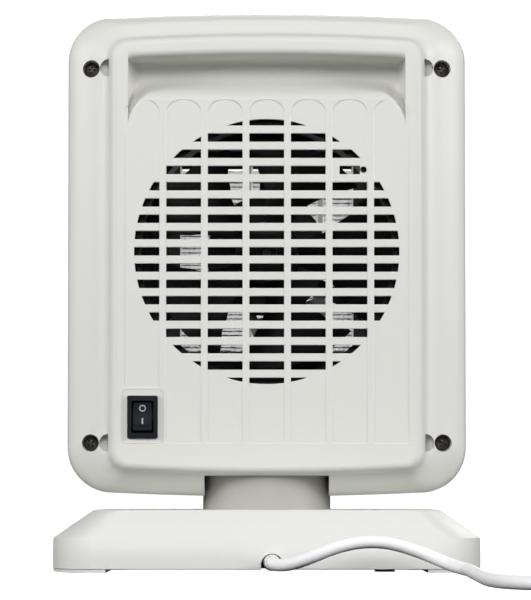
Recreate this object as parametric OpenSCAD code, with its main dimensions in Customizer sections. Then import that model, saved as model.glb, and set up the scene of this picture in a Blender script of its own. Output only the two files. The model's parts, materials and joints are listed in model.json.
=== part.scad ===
// Ceramic space heater: a fan heater head that swings on a round neck above a wide low base.
// Millimetres, +Z up. The front faces -Y and the air inlet faces +Y. The origin is on the floor,
// under the neck, at the middle of the base.

/* [Base] */
// Half the width of the base
base_hx = 104.5; // [100:0.5:110]
// Half the depth of the base
base_hy = 84; // [80:0.5:90]
// Height of the base's flat top
base_top = 30.5; // [29:0.5:32]
// Height at which the upright wall turns into the slope
base_wall_top = 17; // [15:0.5:19]
// How far the slope runs in at the sides
base_slope_x = 20; // [16:1:22]
// How far the slope runs in at the front and back
base_slope_y = 8; // [6:1:10]
// Gap between the base's rim and the floor
rim_gap = 2; // [1:0.5:2]

/* [Head] */
// Half the width of the head
head_hx = 99; // [96:0.5:102]
// Lowest point of the head
head_lo = 36.6; // [36:0.2:37]
// Highest point of the head
head_hi = 277.6; // [272:0.2:280]
// Radius of the head's corners, seen from behind
head_r = 22.5; // [18:0.5:26]
// Wall thickness of the mouldings
wall = 2.4; // [2:0.2:2.6]
// Front face of the front panel
front_y = -66; // [-68:1:-64]
// Joint between the front housing and the rear cover
split_y = 14; // [12:1:16]
// Outer face of the raised back panel
back_y = 40; // [38:1:42]

/* [Inlet grille] */
// Height of the fan's axis
fan_z = 157.2; // [155:0.2:160]
// Radius of the slotted circle
grille_r = 65.2; // [60:0.2:66]
// Distance between the columns of slots
slot_pitch_x = 20.44; // [20:0.02:21]
// Distance between the rows of slots
slot_pitch_z = 8.02; // [7.8:0.02:8.2]
// Width of a slot
slot_w = 17.1; // [16:0.1:17.6]
// Height of a slot
slot_h = 4.1; // [3.6:0.1:4.4]

/* [Swivel] */
// Outer radius of the neck
neck_r = 31.8; // [30:0.1:31.8]
// Radius of the hollow spindle
spindle_r = 12; // [11:0.5:12]
// Module of the swing gears
gear_m = 1.25; // [1.25]
// Teeth on the full circle of the sector gear
sector_teeth = 40; // [40]
// Teeth on the pinion
pinion_teeth = 16; // [16]

/* [Fan] */
// Radius of the fan over its blade tips
fan_r = 58.5; // [56:0.5:60]
// Pitch angle of the blades
blade_pitch = 24; // [20:1:26]
// Radius of the motor shaft
shaft_r = 2; // [2]

/* [Lead] */
// Diameter of the mains lead
cord_d = 6; // [6]
// Radius of the coil at the middle of its turns
coil_r = 36; // [36]

/* [Hidden] */
$fn = 64;
corner_steps = 8;
crown_steps = 6;
skin = 0.02;
running_gap = 0.04;
foot_h = 0.5;

// base
base_rx = 21;
base_ry = 44;
base_in_top = base_top - 2.5;
plate_z0 = 2;
plate_z1 = 3.5;
rail_x = 77;
rail_inset = 0.2;
rail_top = rim_gap - 0.1;
boss_x = 72;
boss_y = 45;
boss_r = 4;
foot_x = 90;
foot_y = 55;
lead_x = -2.5;
lead_z = 5.6;
hole_r = 5.25;

// head
crown_hi = 2.1;
crown_lo = 1.8;
panel_hx = 78;
panel_lo = 47;
panel_hi = 265.2;
panel_r = 9;
crease_hx = 86.2;
crease_lo = 43.5;
crease_hi = 273;
crease_y = 28.5;
band_y = 32.5;
recess_hx = 68.4;
recess_top = 254.4;
recess_floor = 235.4;
recess_y = 16;
flute_lo = 63;
flute_hi = 231.5;
flute_deep = 0.6;
screw_x = 87;
screw_zs = [63.2, 248.7];
screw_r = 1.5;
screw_head_r = 3.8;
screw_well_r = 4.3;
screw_floor = 20;
pocket_r = 4.4;
switch_x = 60.9;
switch_z = 75.8;
switch_w = 15;
switch_h = 21;
rocker_w = 9.6;
rocker_h = 15;
rocker_y = 37.8;
rocker_tilt = 10;
sensor_x = -47.6;
sensor_z = 197.5;
sensor_r = 1.6;
panel_t = 2.5;
panel_back = front_y + panel_t + 1;
front_back = -58;

// swivel
neck_z0 = 25.4;
neck_flange_r = 40;
neck_top = 48;
neck_hole_r = neck_r + 0.8;
notch_top = 47.2;
notch_hx = neck_r + 0.3;
sleeve_r = 15;
washer_z1 = 49.4;
flange_z0 = 49.5;
flange_z1 = 53;
flange_r = 27;
spindle_lo = 12;
spindle_bore = 9;
deck_z1 = 56;
spindle_screw_r = 20;
gear_z0 = 17.2;
gear_z1 = 22.4;
pinion_y = -gear_m * (sector_teeth + pinion_teeth) / 2;
gear_add = 0.8;
gear_ded = 1.2;
tooth_root = 0.85;
tooth_tip = 0.3;
sector_half = 63;
swing_motor_y = pinion_y - 12;
swing_motor_r = 24;
swing_motor_z1 = 15;

// tip-over switch
tip_x = -58;
tip_y = 30;
tip_r = 2;
tip_foot_r = 5;

// fan, motor and heating core
tube_r = 62.5;
tube_wall = 2;
shroud_y = 4.5;
shroud_half = 67;
spider_t = 2.5;
duct_hx = 50.5;
duct_hz = 54.5;
duct_t = 1;
core_hx = 44;
core_hz = 47.5;
core_y0 = -38;
core_y1 = -22;
bank_w = 15.5;
bar_w = 2.6;
banks = 5;
fin_pitch = 3.2;
stack_y0 = -11;
stack_y1 = -1;
stack_half = 20;
motor_turn = 20;
coil_half_w = 11;
post_x = 16;
rotor_r = 11.7;
bush_r = 4.5;
blades = 5;
hub_r = 16;
hub_disc_r = 29.7;

// controls
knob_x = 55;
knob_z = 240;
knob_r = 17;
knob_shaft_r = 3;
button_z = 231;
lamp_z = 252;
outlet_hx = 52;
outlet_lo = 102;
outlet_hi = 212;
louvre_pitch = 10;

// lead: by hand, where it isn't coiled
cord_route = [
    [-2.5, 84, 5.6], [-3.1, 89.6, 4.9], [-5, 95.4, 4.5], [-8.8, 101.4, 4.6], [-14, 106.1, 5.8],
    [-21.2, 109.7, 8.4], [-29.5, 111, 11.8], [-37.5, 111, 14.2], [-46, 110.8, 15.5], [-54, 110.6, 15.4],
    [-60, 110.5, 14.4], [-66, 110.5, 12.8], [-73, 111.4, 10.4], [-79.5, 114.1, 7.7], [-85.1, 118.4, 5.4],
    [-89.4, 124, 3.9], [-92.1, 130.5, 3.1], [-93, 137.5, 3], [-93, 150, 3], [-92.5, 175, 3], [-92, 210, 3], [-91.5, 250, 3], [-91, 290, 3], [-91, 325, 3],
    [-92, 350, 3], [-95, 370, 3], [-101, 386, 3], [-110.5, 398.5, 3], [-123, 408, 3], [-138, 414, 3],
    [-153, 416, 3]
];
coil_c = [-153, 374];
coil_half = 9.3;
coil_h = 15;
tie_w = 6;
tie_t = 1.2;
tie_half = 11;
plug_tail = [-144.5, 384.3];
plug_len = 36;
plug_h = 14;
plug_half = 9;
blade_len = 17;
blade_half_gap = 6.35;
cord_sides = 8;

// ---------- shared shapes ----------

// points of a quarter ellipse round c, from angle a0, turning a quarter turn
function quarter(c, rx, ry, a0) =
    [for (i = [0:corner_steps]) let (a = a0 + 90 * i / corner_steps) [c[0] + rx * cos(a), c[1] + ry * sin(a)]];

// plan outline of the base, with elliptical corners
module plan(hx, hy, rx, ry) {
    x = hx - rx;
    y = hy - ry;
    polygon(concat(quarter([x, y], rx, ry, 0), quarter([-x, y], rx, ry, 90),
                   quarter([-x, -y], rx, ry, 180), quarter([x, -y], rx, ry, 270)));
}

// outline of the head seen from behind: rounded corners, and a crowned top and bottom
module face(hx, lo, hi, r) {
    x = hx - r;
    top = [for (i = [1:crown_steps - 1]) let (t = 1 - 2 * i / crown_steps) [t * x, hi - crown_hi * t * t]];
    bottom = [for (i = [1:crown_steps - 1]) let (t = 2 * i / crown_steps - 1) [t * x, lo + crown_lo * t * t]];
    polygon(concat(quarter([x, hi - crown_hi - r], r, r, 0), top, quarter([-x, hi - crown_hi - r], r, r, 90),
                   quarter([-x, lo + crown_lo + r], r, r, 180), bottom,
                   quarter([x, lo + crown_lo + r], r, r, 270)));
}

// a shape drawn in X and Z, as thick as from y0 to y1
module along_y(y0, y1) {
    translate([0, y1, 0]) rotate([90, 0, 0]) linear_extrude(y1 - y0) children();
}

// a cylinder along Y
module rod_y(x, z, y0, y1, r) {
    translate([x, y1, z]) rotate([90, 0, 0]) cylinder(r = r, h = y1 - y0);
}

// a box given by its lowest and highest corners
module block(lo, hi) {
    translate(lo) cube(hi - lo);
}

// a ring about Z
module ring(r_out, r_in, z0, z1) {
    translate([0, 0, z0]) difference() {
        cylinder(r = r_out, h = z1 - z0);
        translate([0, 0, -1]) cylinder(r = r_in, h = z1 - z0 + 2);
    }
}

// a wire from p to q with a round bend at each end
module wire(p, q, r) {
    d = q - p;
    len = norm(d);
    translate(p) rotate([0, acos(d[2] / len), atan2(d[1], d[0])]) cylinder(r = r, h = len, $fn = 24);
    translate(p) sphere(r = r * 1.1, $fn = 24);
    translate(q) sphere(r = r * 1.1, $fn = 24);
}

// a self-tapping screw along -Z from its head's underside at the origin
module screw(len, r, head_r, head_h) {
    difference() {
        union() {
            translate([0, 0, -len]) cylinder(r = r, h = len + 0.5);
            cylinder(r = head_r, h = head_h);
        }
        for (a = [0, 90]) rotate([0, 0, a]) translate([-head_r * 0.6, -0.5, head_h - 1]) cube([head_r * 1.2, 1, 2]);
    }
}

// tooth outline of a gear with straight-sided teeth, from tooth first to tooth last
function gear_outline(teeth, first, last) =
    let (rp = gear_m * teeth / 2, ro = rp + gear_add * gear_m, rr = rp - gear_ded * gear_m)
    [for (i = [first:last], k = [0:3])
        let (r = (k == 0 || k == 3) ? rr : ro,
             w = ((k == 0 || k == 3) ? tooth_root : tooth_tip) * gear_m * (k < 2 ? -1 : 1),
             a = 360 / teeth * i + w / r * 180 / PI)
        [r * cos(a), r * sin(a)]];

// ---------- base ----------

module base_solid(inset, z0, top) {
    translate([0, 0, z0]) linear_extrude(base_wall_top - inset / 4 - z0)
        plan(base_hx - inset, base_hy - inset, base_rx - inset, base_ry - inset);
    hull($fn = 32) {
        translate([0, 0, base_wall_top - inset / 4 - skin]) linear_extrude(skin)
            plan(base_hx - inset, base_hy - inset, base_rx - inset, base_ry - inset);
        translate([0, 0, top - skin]) linear_extrude(skin)
            plan(base_hx - base_slope_x - inset, base_hy - base_slope_y - inset, base_rx - 5, base_ry - 5);
    }
}

module lead_arch(r, y0, y1) {
    rod_y(lead_x, lead_z - 1.2, y0, y1, r);
    block([lead_x - r, y0, 0], [lead_x + r, y1, lead_z - 1.2]);
}

module base_shell() {
    color("gainsboro") difference() {
        union() {
            difference() {
                base_solid(0, rim_gap, base_top);
                base_solid(wall, rim_gap - 1, base_in_top);
            }
            for (x = [-boss_x, boss_x], y = [-boss_y, boss_y])
                translate([x, y, plate_z1 + 0.2]) cylinder(r = boss_r, h = base_in_top - plate_z1 + 0.3);
        }
        for (x = [-boss_x, boss_x], y = [-boss_y, boss_y])
            translate([x, y, 0]) cylinder(r = screw_r, h = base_in_top - 4);
        translate([0, 0, base_in_top - 1]) cylinder(r = neck_r + 0.1, h = 10);
        for (a = [45:90:315]) rotate([0, 0, a])
            translate([neck_flange_r - 4, 0, base_in_top - 1]) cylinder(r = 1.2, h = 2.2);
        lead_arch(hole_r, base_hy - 6, base_hy + 2);
    }
}

module base_plate() {
    plate_gap = wall + 0.3;
    color("gainsboro") difference() {
        union() {
            translate([0, 0, plate_z0]) linear_extrude(plate_z1 - plate_z0)
                plan(base_hx - plate_gap, base_hy - plate_gap, base_rx - plate_gap, base_ry - plate_gap);
            for (s = [-1, 1]) intersection() {
                union() {
                    translate([0, 0, foot_h]) linear_extrude(rail_top - foot_h)
                        plan(base_hx - rail_inset, base_hy - rail_inset, base_rx, base_ry);
                    translate([0, 0, foot_h]) linear_extrude(plate_z0)
                        plan(base_hx - plate_gap, base_hy - plate_gap, base_rx - plate_gap, base_ry - plate_gap);
                }
                translate([s * (rail_x + 20) - 20, -base_hy, 0]) cube([40, 2 * base_hy, 3]);
            }
        }
        for (x = [-boss_x, boss_x], y = [-boss_y, boss_y]) {
            translate([x, y, 0]) cylinder(r = screw_r + 0.3, h = 5);
            translate([x, y, 0]) cylinder(r = screw_head_r + 0.3, h = 2.4);
        }
        for (x = [-foot_x, foot_x], y = [-foot_y, foot_y])
            translate([x, y, 0]) cylinder(r = 6.1, h = 1.6);
        translate([tip_x, tip_y, 0]) cylinder(r = tip_foot_r + 0.5, h = 5);
        translate([lead_x - hole_r, base_hy - 32, 0]) cube([2 * hole_r, 40, 5]);
    }
}

module base_feet() {
    color("dimgray") for (x = [-foot_x, foot_x], y = [-foot_y, foot_y])
        translate([x, y, 0]) cylinder(r = 6, h = 1.6);
}

module base_screws() {
    color("darkolivegreen") for (x = [-boss_x, boss_x], y = [-boss_y, boss_y])
        translate([x, y, 2.4]) mirror([0, 0, 1]) screw(16, screw_r, screw_head_r, 1.2);
}

// screws that hold the neck's flange to the underside of the top
module base_inner_screws() {
    color("silver") for (a = [45:90:315]) rotate([0, 0, a])
        translate([neck_flange_r - 4, 0, neck_z0]) mirror([0, 0, 1]) screw(3.5, 1.2, 2.4, 1.6);
}

module ballast_plate() {
    color("slategray") difference() {
        block([-66, 12, plate_z1], [66, 62, plate_z1 + 6]);
        cylinder(r = 20, h = 20);
        translate([tip_x, tip_y, 0]) cylinder(r = 11, h = 20);
        block([lead_x - 20, 40, 0], [lead_x + 20, 70, 20]);
    }
}

module neck_column() {
    color("gainsboro") difference() {
        rotate_extrude() polygon([
            [spindle_r + running_gap, neck_z0], [sleeve_r, neck_z0], [sleeve_r, neck_top - wall],
            [neck_r - wall, neck_top - wall], [neck_r - wall, neck_z0], [neck_flange_r, neck_z0],
            [neck_flange_r, base_in_top], [neck_r, base_in_top], [neck_r, neck_top],
            [spindle_r + running_gap, neck_top]
        ]);
        for (a = [45:90:315]) rotate([0, 0, a])
            translate([neck_flange_r - 4, 0, neck_z0 - 1]) cylinder(r = 1.2, h = 5);
    }
}

module swing_motor() {
    color("silver") difference() {
        union() {
            translate([0, swing_motor_y, plate_z1 + 0.1]) cylinder(r = swing_motor_r, h = swing_motor_z1 - plate_z1);
            translate([0, pinion_y, swing_motor_z1 - 1]) cylinder(r = 5, h = 2);
            block([-30, swing_motor_y - 4, swing_motor_z1 - 1.5], [30, swing_motor_y + 4, swing_motor_z1]);
        }
        translate([0, pinion_y, swing_motor_z1 - 7]) cylinder(r = 2.5 + running_gap, h = 10);
    }
}

module cord_grip() {
    color("whitesmoke") difference() {
        union() {
            rod_y(lead_x, lead_z, base_hy - 24, base_hy - 8, 4.6);
            translate([lead_x, base_hy - 8, lead_z]) rotate([-90, 0, 0])
                cylinder(r1 = 4.6, r2 = cord_d / 2 + 0.7, h = 9);
            rod_y(lead_x, lead_z, base_hy - 30, base_hy - 24, 3.9);
        }
        rod_y(lead_x, lead_z, base_hy - 40, base_hy + 5, cord_d / 2);
    }
}

module cord_clamp() {
    color("dimgray") {
        difference() {
            block([lead_x - 12, base_hy - 36, plate_z1], [lead_x + 12, base_hy - 27, 14]);
            rod_y(lead_x, lead_z, base_hy - 40, base_hy - 20, 4);
            for (s = [-1, 1]) translate([lead_x + s * 8.5, base_hy - 31.5, 0]) cylinder(r = 1.4, h = 20);
        }
    }
}

module terminal_block() {
    color("ivory") difference() {
        block([14, 62, plate_z1], [50, 74, plate_z1 + 11]);
        for (i = [0:3]) translate([18.5 + 9 * i, 68, plate_z1 + 5]) cylinder(r = 2.2, h = 8);
    }
}

module base_leads() {
    color("saddlebrown") {
        wire([lead_x, 53, lead_z], [lead_x, 46, lead_z], 1.5);
        wire([lead_x, 46, lead_z], [lead_x, 43, 13], 1.5);
        wire([lead_x, 43, 13], [10, 36, 14.5], 1.5);
        wire([10, 36, 14.5], [22, 57, 16.2], 1.5);
        wire([22, 57, 16.2], [22, 66, 16.2], 1.5);
        wire([31, 66, 16.2], [30, 30, 13], 1.5);
        wire([30, 30, 13], [13.5, 13.5, 11.5], 1.5);
        wire([13.5, 13.5, 11.5], [5, 5, 7], 1.5);
    }
}

module tip_switch() {
    color("dimgray") difference() {
        union() {
            block([tip_x - 7, tip_y - 7, 9.7], [tip_x + 7, tip_y + 7, 22]);
            for (s = [-1, 1]) block([tip_x - 7, tip_y + s * 6.5 - 0.5, plate_z1], [tip_x + 7, tip_y + s * 6.5 + 0.5, 10]);
        }
        translate([tip_x, tip_y, 0]) cylinder(r = tip_r + running_gap, h = 18);
    }
}

module tip_plunger() {
    color("whitesmoke") {
        translate([tip_x, tip_y, 0]) cylinder(r = tip_r, h = 16);
        translate([tip_x, tip_y, 0]) cylinder(r = tip_foot_r, h = 2.2);
    }
}

// ---------- swivel ----------

module swivel_washer() {
    color("white") ring(26, spindle_r + 0.3, neck_top, washer_z1);
}

module swivel_spindle() {
    color("lightgray") difference() {
        union() {
            translate([0, 0, spindle_lo]) cylinder(r = spindle_r, h = flange_z1 - spindle_lo);
            translate([0, 0, flange_z0]) cylinder(r = flange_r, h = flange_z1 - flange_z0);
        }
        cylinder(r = spindle_bore, h = 80);
        for (a = [45:90:315]) rotate([0, 0, a])
            translate([spindle_screw_r, 0, 0]) cylinder(r = screw_r, h = 80);
    }
}

module spindle_screws() {
    color("silver") for (a = [45:90:315]) rotate([0, 0, a])
        translate([spindle_screw_r, 0, deck_z1]) screw(6, screw_r, 3, 2);
}

module sector_gear() {
    first = ceil(-sector_half / (360 / sector_teeth));
    color("whitesmoke") translate([0, 0, gear_z0]) difference() {
        union() {
            rotate([0, 0, -90]) linear_extrude(gear_z1 - gear_z0)
                polygon(concat([[0, 0]], gear_outline(sector_teeth, first, -first)));
            cylinder(r = 17, h = gear_z1 - gear_z0);
        }
        translate([0, 0, -1]) cylinder(r = spindle_r, h = 10);
    }
}

module spindle_ring() {
    color("slategray") ring(15.5, spindle_r, gear_z0 - 2, gear_z0 - 0.2);
}

module drive_pinion() {
    color("whitesmoke") translate([0, pinion_y, 0]) {
        translate([0, 0, gear_z0]) rotate([0, 0, 180 / pinion_teeth]) linear_extrude(gear_z1 - gear_z0)
            polygon(gear_outline(pinion_teeth, 0, pinion_teeth - 1));
        translate([0, 0, swing_motor_z1 - 6]) cylinder(r = 2.5, h = gear_z1 - swing_motor_z1 + 6.6);
        translate([0, 0, swing_motor_z1 + 1.2]) cylinder(r = 4.5, h = gear_z0 - swing_motor_z1 - 1.2);
    }
}

// ---------- head: mouldings ----------

module front_housing() {
    color("gainsboro") difference() {
        union() {
            along_y(front_back, split_y) difference() {
                face(head_hx, head_lo, head_hi, head_r);
                face(head_hx - wall, head_lo + wall, head_hi - wall, head_r - wall);
            }
            block([-head_hx + 1.2, front_back, flange_z1], [head_hx - 1.2, split_y - 1, deck_z1]);
            for (s = [-1, 1], z = screw_zs) {
                rod_y(s * screw_x, z, -16, split_y, boss_r);
                block([min(s * screw_x, s * (head_hx - 1)), -16, z - 1],
                      [max(s * screw_x, s * (head_hx - 1)), split_y - 0.1, z + 1]);
            }
        }
        for (s = [-1, 1], z = screw_zs) rod_y(s * screw_x, z, -10, split_y + 1, screw_r);
        translate([0, 0, 30]) cylinder(r = neck_hole_r, h = 15);
        block([-notch_hx, 0, 30], [notch_hx, split_y + 1, 45]);
        translate([0, 0, 45]) cylinder(r = spindle_bore, h = 20);
        for (a = [45:90:315]) rotate([0, 0, a])
            translate([spindle_screw_r, 0, 45]) cylinder(r = screw_r, h = 20);
    }
}

// the rear cover's outer or inner form, up to the foot of the raised panel
module cover_form(inset) {
    y0 = split_y;
    module station(y, hx, lo, hi, r) {
        along_y(y, y + skin) face(hx - inset, lo + inset, hi - inset, r - inset / 2);
    }
    hull($fn = 32) {
        station(y0 - (inset > 0 ? 1 : 0), head_hx, head_lo, head_hi, head_r);
        station(y0 + 7 - inset / 3, head_hx - 2, head_lo + 1.6, head_hi - 1, head_r - 1);
    }
    hull($fn = 32) {
        station(y0 + 7 - inset / 3 - skin, head_hx - 2, head_lo + 1.6, head_hi - 1, head_r - 1);
        station(crease_y - inset, crease_hx, crease_lo, crease_hi, 17);
    }
    hull($fn = 32) {
        station(crease_y - inset - skin, crease_hx, crease_lo, crease_hi, 17);
        station(band_y - inset, panel_hx + 0.4, panel_lo - 0.6, panel_hi + 0.6, panel_r + 1);
    }
}

// slots of the air inlet, drawn in X and Z
module inlet_slots() {
    intersection() {
        translate([0, fan_z]) circle(r = grille_r, $fn = 96);
        for (i = [-3:3], j = [-8:8])
            translate([i * slot_pitch_x, fan_z + j * slot_pitch_z])
                square([(i == -2 && j == 5) ? slot_w - 7 : slot_w, slot_h], center = true);
    }
}

module flute(x, lo) {
    r = slot_w / 2;
    translate([x, flute_hi - r]) circle(r = r);
    translate([x - r, lo]) square([slot_w, flute_hi - r - lo]);
}

// outline of the handle recess in Y and Z, d larger all round
module recess_profile(d) {
    polygon([[recess_y - d, recess_top + d], [back_y + 2, recess_top + d], [back_y + 2, recess_floor - 1 - d],
             [back_y, recess_floor - d], [back_y - 8, recess_floor + 1.6 - d], [back_y - 16, recess_floor + 5.4 - d],
             [recess_y + 3, recess_floor + 10 - d], [recess_y - d, recess_floor + 14 - d]]);
}

module recess(d) {
    translate([-recess_hx - d, 0, 0]) rotate([90, 0, 90]) linear_extrude(2 * (recess_hx + d)) recess_profile(d);
}

module rear_cover() {
    color("gainsboro") difference() {
        union() {
            difference() {
                union() {
                    cover_form(0);
                    along_y(band_y - 1, back_y) face(panel_hx, panel_lo, panel_hi, panel_r);
                }
                cover_form(wall);
                along_y(band_y - 4, back_y - wall)
                    face(panel_hx - wall, panel_lo + wall, panel_hi - wall, panel_r - wall);
            }
            intersection() {
                recess(wall);
                along_y(recess_y - wall, back_y) face(panel_hx, panel_lo, panel_hi, panel_r);
            }
            translate([-notch_hx - wall, 0, 0]) rotate([90, 0, 90]) linear_extrude(2 * (notch_hx + wall))
                polygon([[split_y + 0.3, 38.2], [21, 39.4], [27.5, 44.4], [31.5, 47.6], [back_y - 1.7, 48],
                         [back_y - 1.7, notch_top + 3], [split_y + 0.3, notch_top + 3]]);
            for (s = [-1, 1], z = screw_zs) {
                rod_y(s * screw_x, z, split_y + 0.1, crease_y - 1.5, screw_well_r + 1.6);
                rod_y(s * (panel_hx + 0.5), z, crease_y - 3, band_y - 2, pocket_r + 1);
            }
        }
        recess(0);
        along_y(band_y - 5, back_y + 1) inlet_slots();
        along_y(back_y - flute_deep, back_y + 1) for (i = [-3:3])
            flute(i * slot_pitch_x, (i == 3) ? 90 : flute_lo);
        rod_y(sensor_x, sensor_z, band_y - 5, back_y + 1, sensor_r);
        for (s = [-1, 1], z = screw_zs) {
            rod_y(s * screw_x, z, screw_floor, back_y, screw_well_r);
            rod_y(s * screw_x, z, split_y - 1, back_y, screw_r + 0.2);
            difference() {
                rod_y(s * (panel_hx + 0.2), z, crease_y - 1, back_y + 1, pocket_r);
                block([-panel_hx, 0, 0], [panel_hx, back_y + 2, head_hi]);
            }
        }
        block([switch_x - 6.5, band_y, switch_z - 9.6], [switch_x + 6.5, back_y + 1, switch_z + 9.6]);
        translate([0, 0, 30]) cylinder(r = neck_hole_r, h = 22);
        block([-notch_hx, 0, 30], [notch_hx, back_y + 1, notch_top]);
    }
}

module cover_screws() {
    color("darkolivegreen") for (s = [-1, 1], z = screw_zs)
        translate([s * screw_x, screw_floor, z]) rotate([-90, 0, 0]) screw(22, screw_r, screw_head_r, 2.4);
}

module front_panel() {
    color("gainsboro") difference() {
        union() {
            along_y(front_y + panel_t, front_back) difference() {
                face(head_hx, head_lo, head_hi, head_r);
                face(head_hx - wall, head_lo + wall, head_hi - wall, head_r - wall);
            }
            along_y(front_y, front_y + panel_t) face(head_hx - 2, head_lo + 2, head_hi - 2, head_r - 2);
            along_y(front_y + panel_t - 0.6, panel_back) face(head_hx, head_lo, head_hi, head_r);
        }
        block([-outlet_hx, front_y - 1, outlet_lo], [outlet_hx, front_back, outlet_hi]);
        for (s = [-1, 1]) rod_y(s * knob_x, knob_z, front_y - 1, front_back, knob_shaft_r + 1);
        rod_y(0, button_z, front_y - 1, front_back, 6.4);
        rod_y(0, lamp_z, front_y - 1, front_back, 3);
    }
}

module outlet_grille() {
    color("dimgray") {
        difference() {
            block([-outlet_hx, front_y - 1, outlet_lo], [outlet_hx, front_back, outlet_hi]);
            block([-outlet_hx + 2, front_y - 2, outlet_lo + 2], [outlet_hx - 2, front_back + 1, outlet_hi - 2]);
        }
        for (z = [outlet_lo + louvre_pitch:louvre_pitch:outlet_hi - 8])
            intersection() {
                translate([-outlet_hx + 1, -62.5, z]) rotate([35, 0, 0]) translate([0, -6, -0.7]) cube([2 * outlet_hx - 2, 12, 1.4]);
                block([-outlet_hx, front_y - 1, 0], [outlet_hx, front_back, 300]);
            }
        for (x = [-26, 0, 26]) block([x - 0.8, -60.5, outlet_lo + 1], [x + 0.8, front_back, outlet_hi - 1]);
    }
}

// ---------- head: fan and motor ----------

module fan_shroud() {
    color("black") {
        difference() {
            union() {
                block([-shroud_half, shroud_y, fan_z - shroud_half], [shroud_half, shroud_y + 2.5, fan_z + shroud_half]);
                rod_y(0, fan_z, shroud_y, 34, tube_r + tube_wall);
            }
            rod_y(0, fan_z, shroud_y + 2.5, 40, tube_r);
            intersection() {
                rod_y(0, fan_z, 0, 30, tube_r);
                block([-duct_hx, 0, fan_z - duct_hz], [duct_hx, 30, fan_z + duct_hz]);
            }
        }
    }
}

// turned about the fan's axis as far as the motor is
module motor_axes() {
    translate([0, 0, fan_z]) rotate([0, motor_turn, 0]) translate([0, 0, -fan_z]) children();
}

// three-armed spider that carries the motor on the shroud's front
module motor_mount() {
    y0 = shroud_y - spider_t;
    color("dimgray") {
        difference() {
            rod_y(0, fan_z, y0, shroud_y, 30);
            rod_y(0, fan_z, y0 - 1, shroud_y + 1, 24);
        }
        for (a = [90, 210, 330]) translate([0, 0, fan_z]) rotate([0, -a, 0])
            block([27, y0, -3.5], [60, shroud_y, 3.5]);
        motor_axes() for (s = [-1, 1])
            block([s > 0 ? 22 : -27, y0, fan_z - 3], [s > 0 ? 27 : -22, shroud_y, fan_z + 3]);
    }
}

module motor_stator() {
    color("slategray") motor_axes() difference() {
        block([-stack_half, stack_y0, fan_z - 38], [stack_half, stack_y1, fan_z + 20]);
        rod_y(0, fan_z, stack_y0 - 1, stack_y1 + 1, rotor_r + 0.4);
        block([-15, stack_y0 - 1, fan_z - 28], [15, stack_y1 + 1, fan_z - 18]);
    }
}

module motor_coil() {
    color("goldenrod") motor_axes() difference() {
        block([-coil_half_w, -16, fan_z - 43], [coil_half_w, 1.5, fan_z - 19]);
        block([-15, stack_y0, fan_z - 38], [15, stack_y1, fan_z - 28]);
    }
}

module motor_endbells() {
    color("silver") motor_axes() {
        difference() {
            block([-22, 2, fan_z - 6], [22, 4, fan_z + 6]);
            rod_y(0, fan_z, 0, 6, bush_r - 1);
        }
        difference() {
            block([-22, -15, fan_z - 6], [22, -13, fan_z + 6]);
            rod_y(0, fan_z, -17, -11, bush_r - 1);
        }
        for (s = [-1, 1]) {
            rod_y(s * post_x, fan_z, stack_y1, 3, 2.5);
            rod_y(s * post_x, fan_z, -14, stack_y0, 2.5);
        }
    }
}

module bush(y0, y1, flange0, flange1) {
    difference() {
        union() {
            rod_y(0, fan_z, y0, y1, bush_r - 1);
            rod_y(0, fan_z, flange0, flange1, bush_r + 1);
        }
        rod_y(0, fan_z, y0 - 1, y1 + 1, shaft_r + 0.03);
    }
}

module motor_bushes() {
    color("peru") {
        bush(0.6, 5.6, 4, 5.6);
        bush(-17, -12.4, -17, -15);
    }
}

module motor_rotor() {
    color("silver") difference() {
        rod_y(0, fan_z, stack_y0 + 0.2, stack_y1 - 0.2, rotor_r);
        rod_y(0, fan_z, stack_y0 - 1, stack_y1 + 1, shaft_r);
    }
}

module motor_shaft() {
    color("silver") rod_y(0, fan_z, -19, 31, shaft_r);
}

module fan_impeller() {
    root = 9;
    tip = 27;
    color("black") translate([0, 0, fan_z]) difference() {
        union() {
            difference() {
                rod_y(0, 0, 10, 28, hub_r);
                rod_y(0, 0, 9, 26, hub_r - 2);
            }
            rod_y(0, 0, 8, 30, 5);
            rod_y(0, 0, 10, 11.5, hub_disc_r);
            for (i = [0:blades - 1]) rotate([0, 180 + i * 360 / blades, 0]) intersection() {
                difference() {
                    rod_y(0, 0, 6, 33, fan_r);
                    rod_y(0, 0, 5, 34, hub_r - 1);
                }
                translate([0, 20, 0]) rotate([90 + blade_pitch, 0, 0]) translate([0, 0, -0.8])
                    linear_extrude(1.6) polygon([[12, -root], [62, -tip], [62, tip], [12, root]]);
            }
        }
        rod_y(0, 0, 0, 40, shaft_r);
    }
}

// ---------- head: heating core ----------

module heat_duct() {
    color("silver") difference() {
        block([-duct_hx - duct_t, -57, fan_z - duct_hz - duct_t],
              [duct_hx + duct_t, shroud_y - spider_t, fan_z + duct_hz + duct_t]);
        block([-duct_hx, -58, fan_z - duct_hz], [duct_hx, shroud_y + 1, fan_z + duct_hz]);
    }
}

module ptc_frame() {
    color("black") difference() {
        block([-duct_hx, core_y0 - 2, fan_z - duct_hz], [duct_hx, core_y1 + 2, fan_z + duct_hz]);
        block([-core_hx, core_y0 - 3, fan_z - core_hz], [core_hx, core_y1 + 3, fan_z + core_hz]);
    }
}

// left edge of bank i of fins
function bank_x(i) = -core_hx + i * (bank_w + bar_w);

module ptc_fins() {
    color("silver") for (i = [0:banks - 1]) translate([bank_x(i), 0, 0]) {
        for (x = [0, bank_w - 0.6]) block([x, core_y0, fan_z - core_hz], [x + 0.6, core_y1, fan_z + core_hz]);
        for (z = [fan_z - core_hz + 1:fin_pitch:fan_z + core_hz - 0.5])
            block([0.3, core_y0, z], [bank_w - 0.3, core_y1, z + 0.4]);
    }
}

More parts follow.
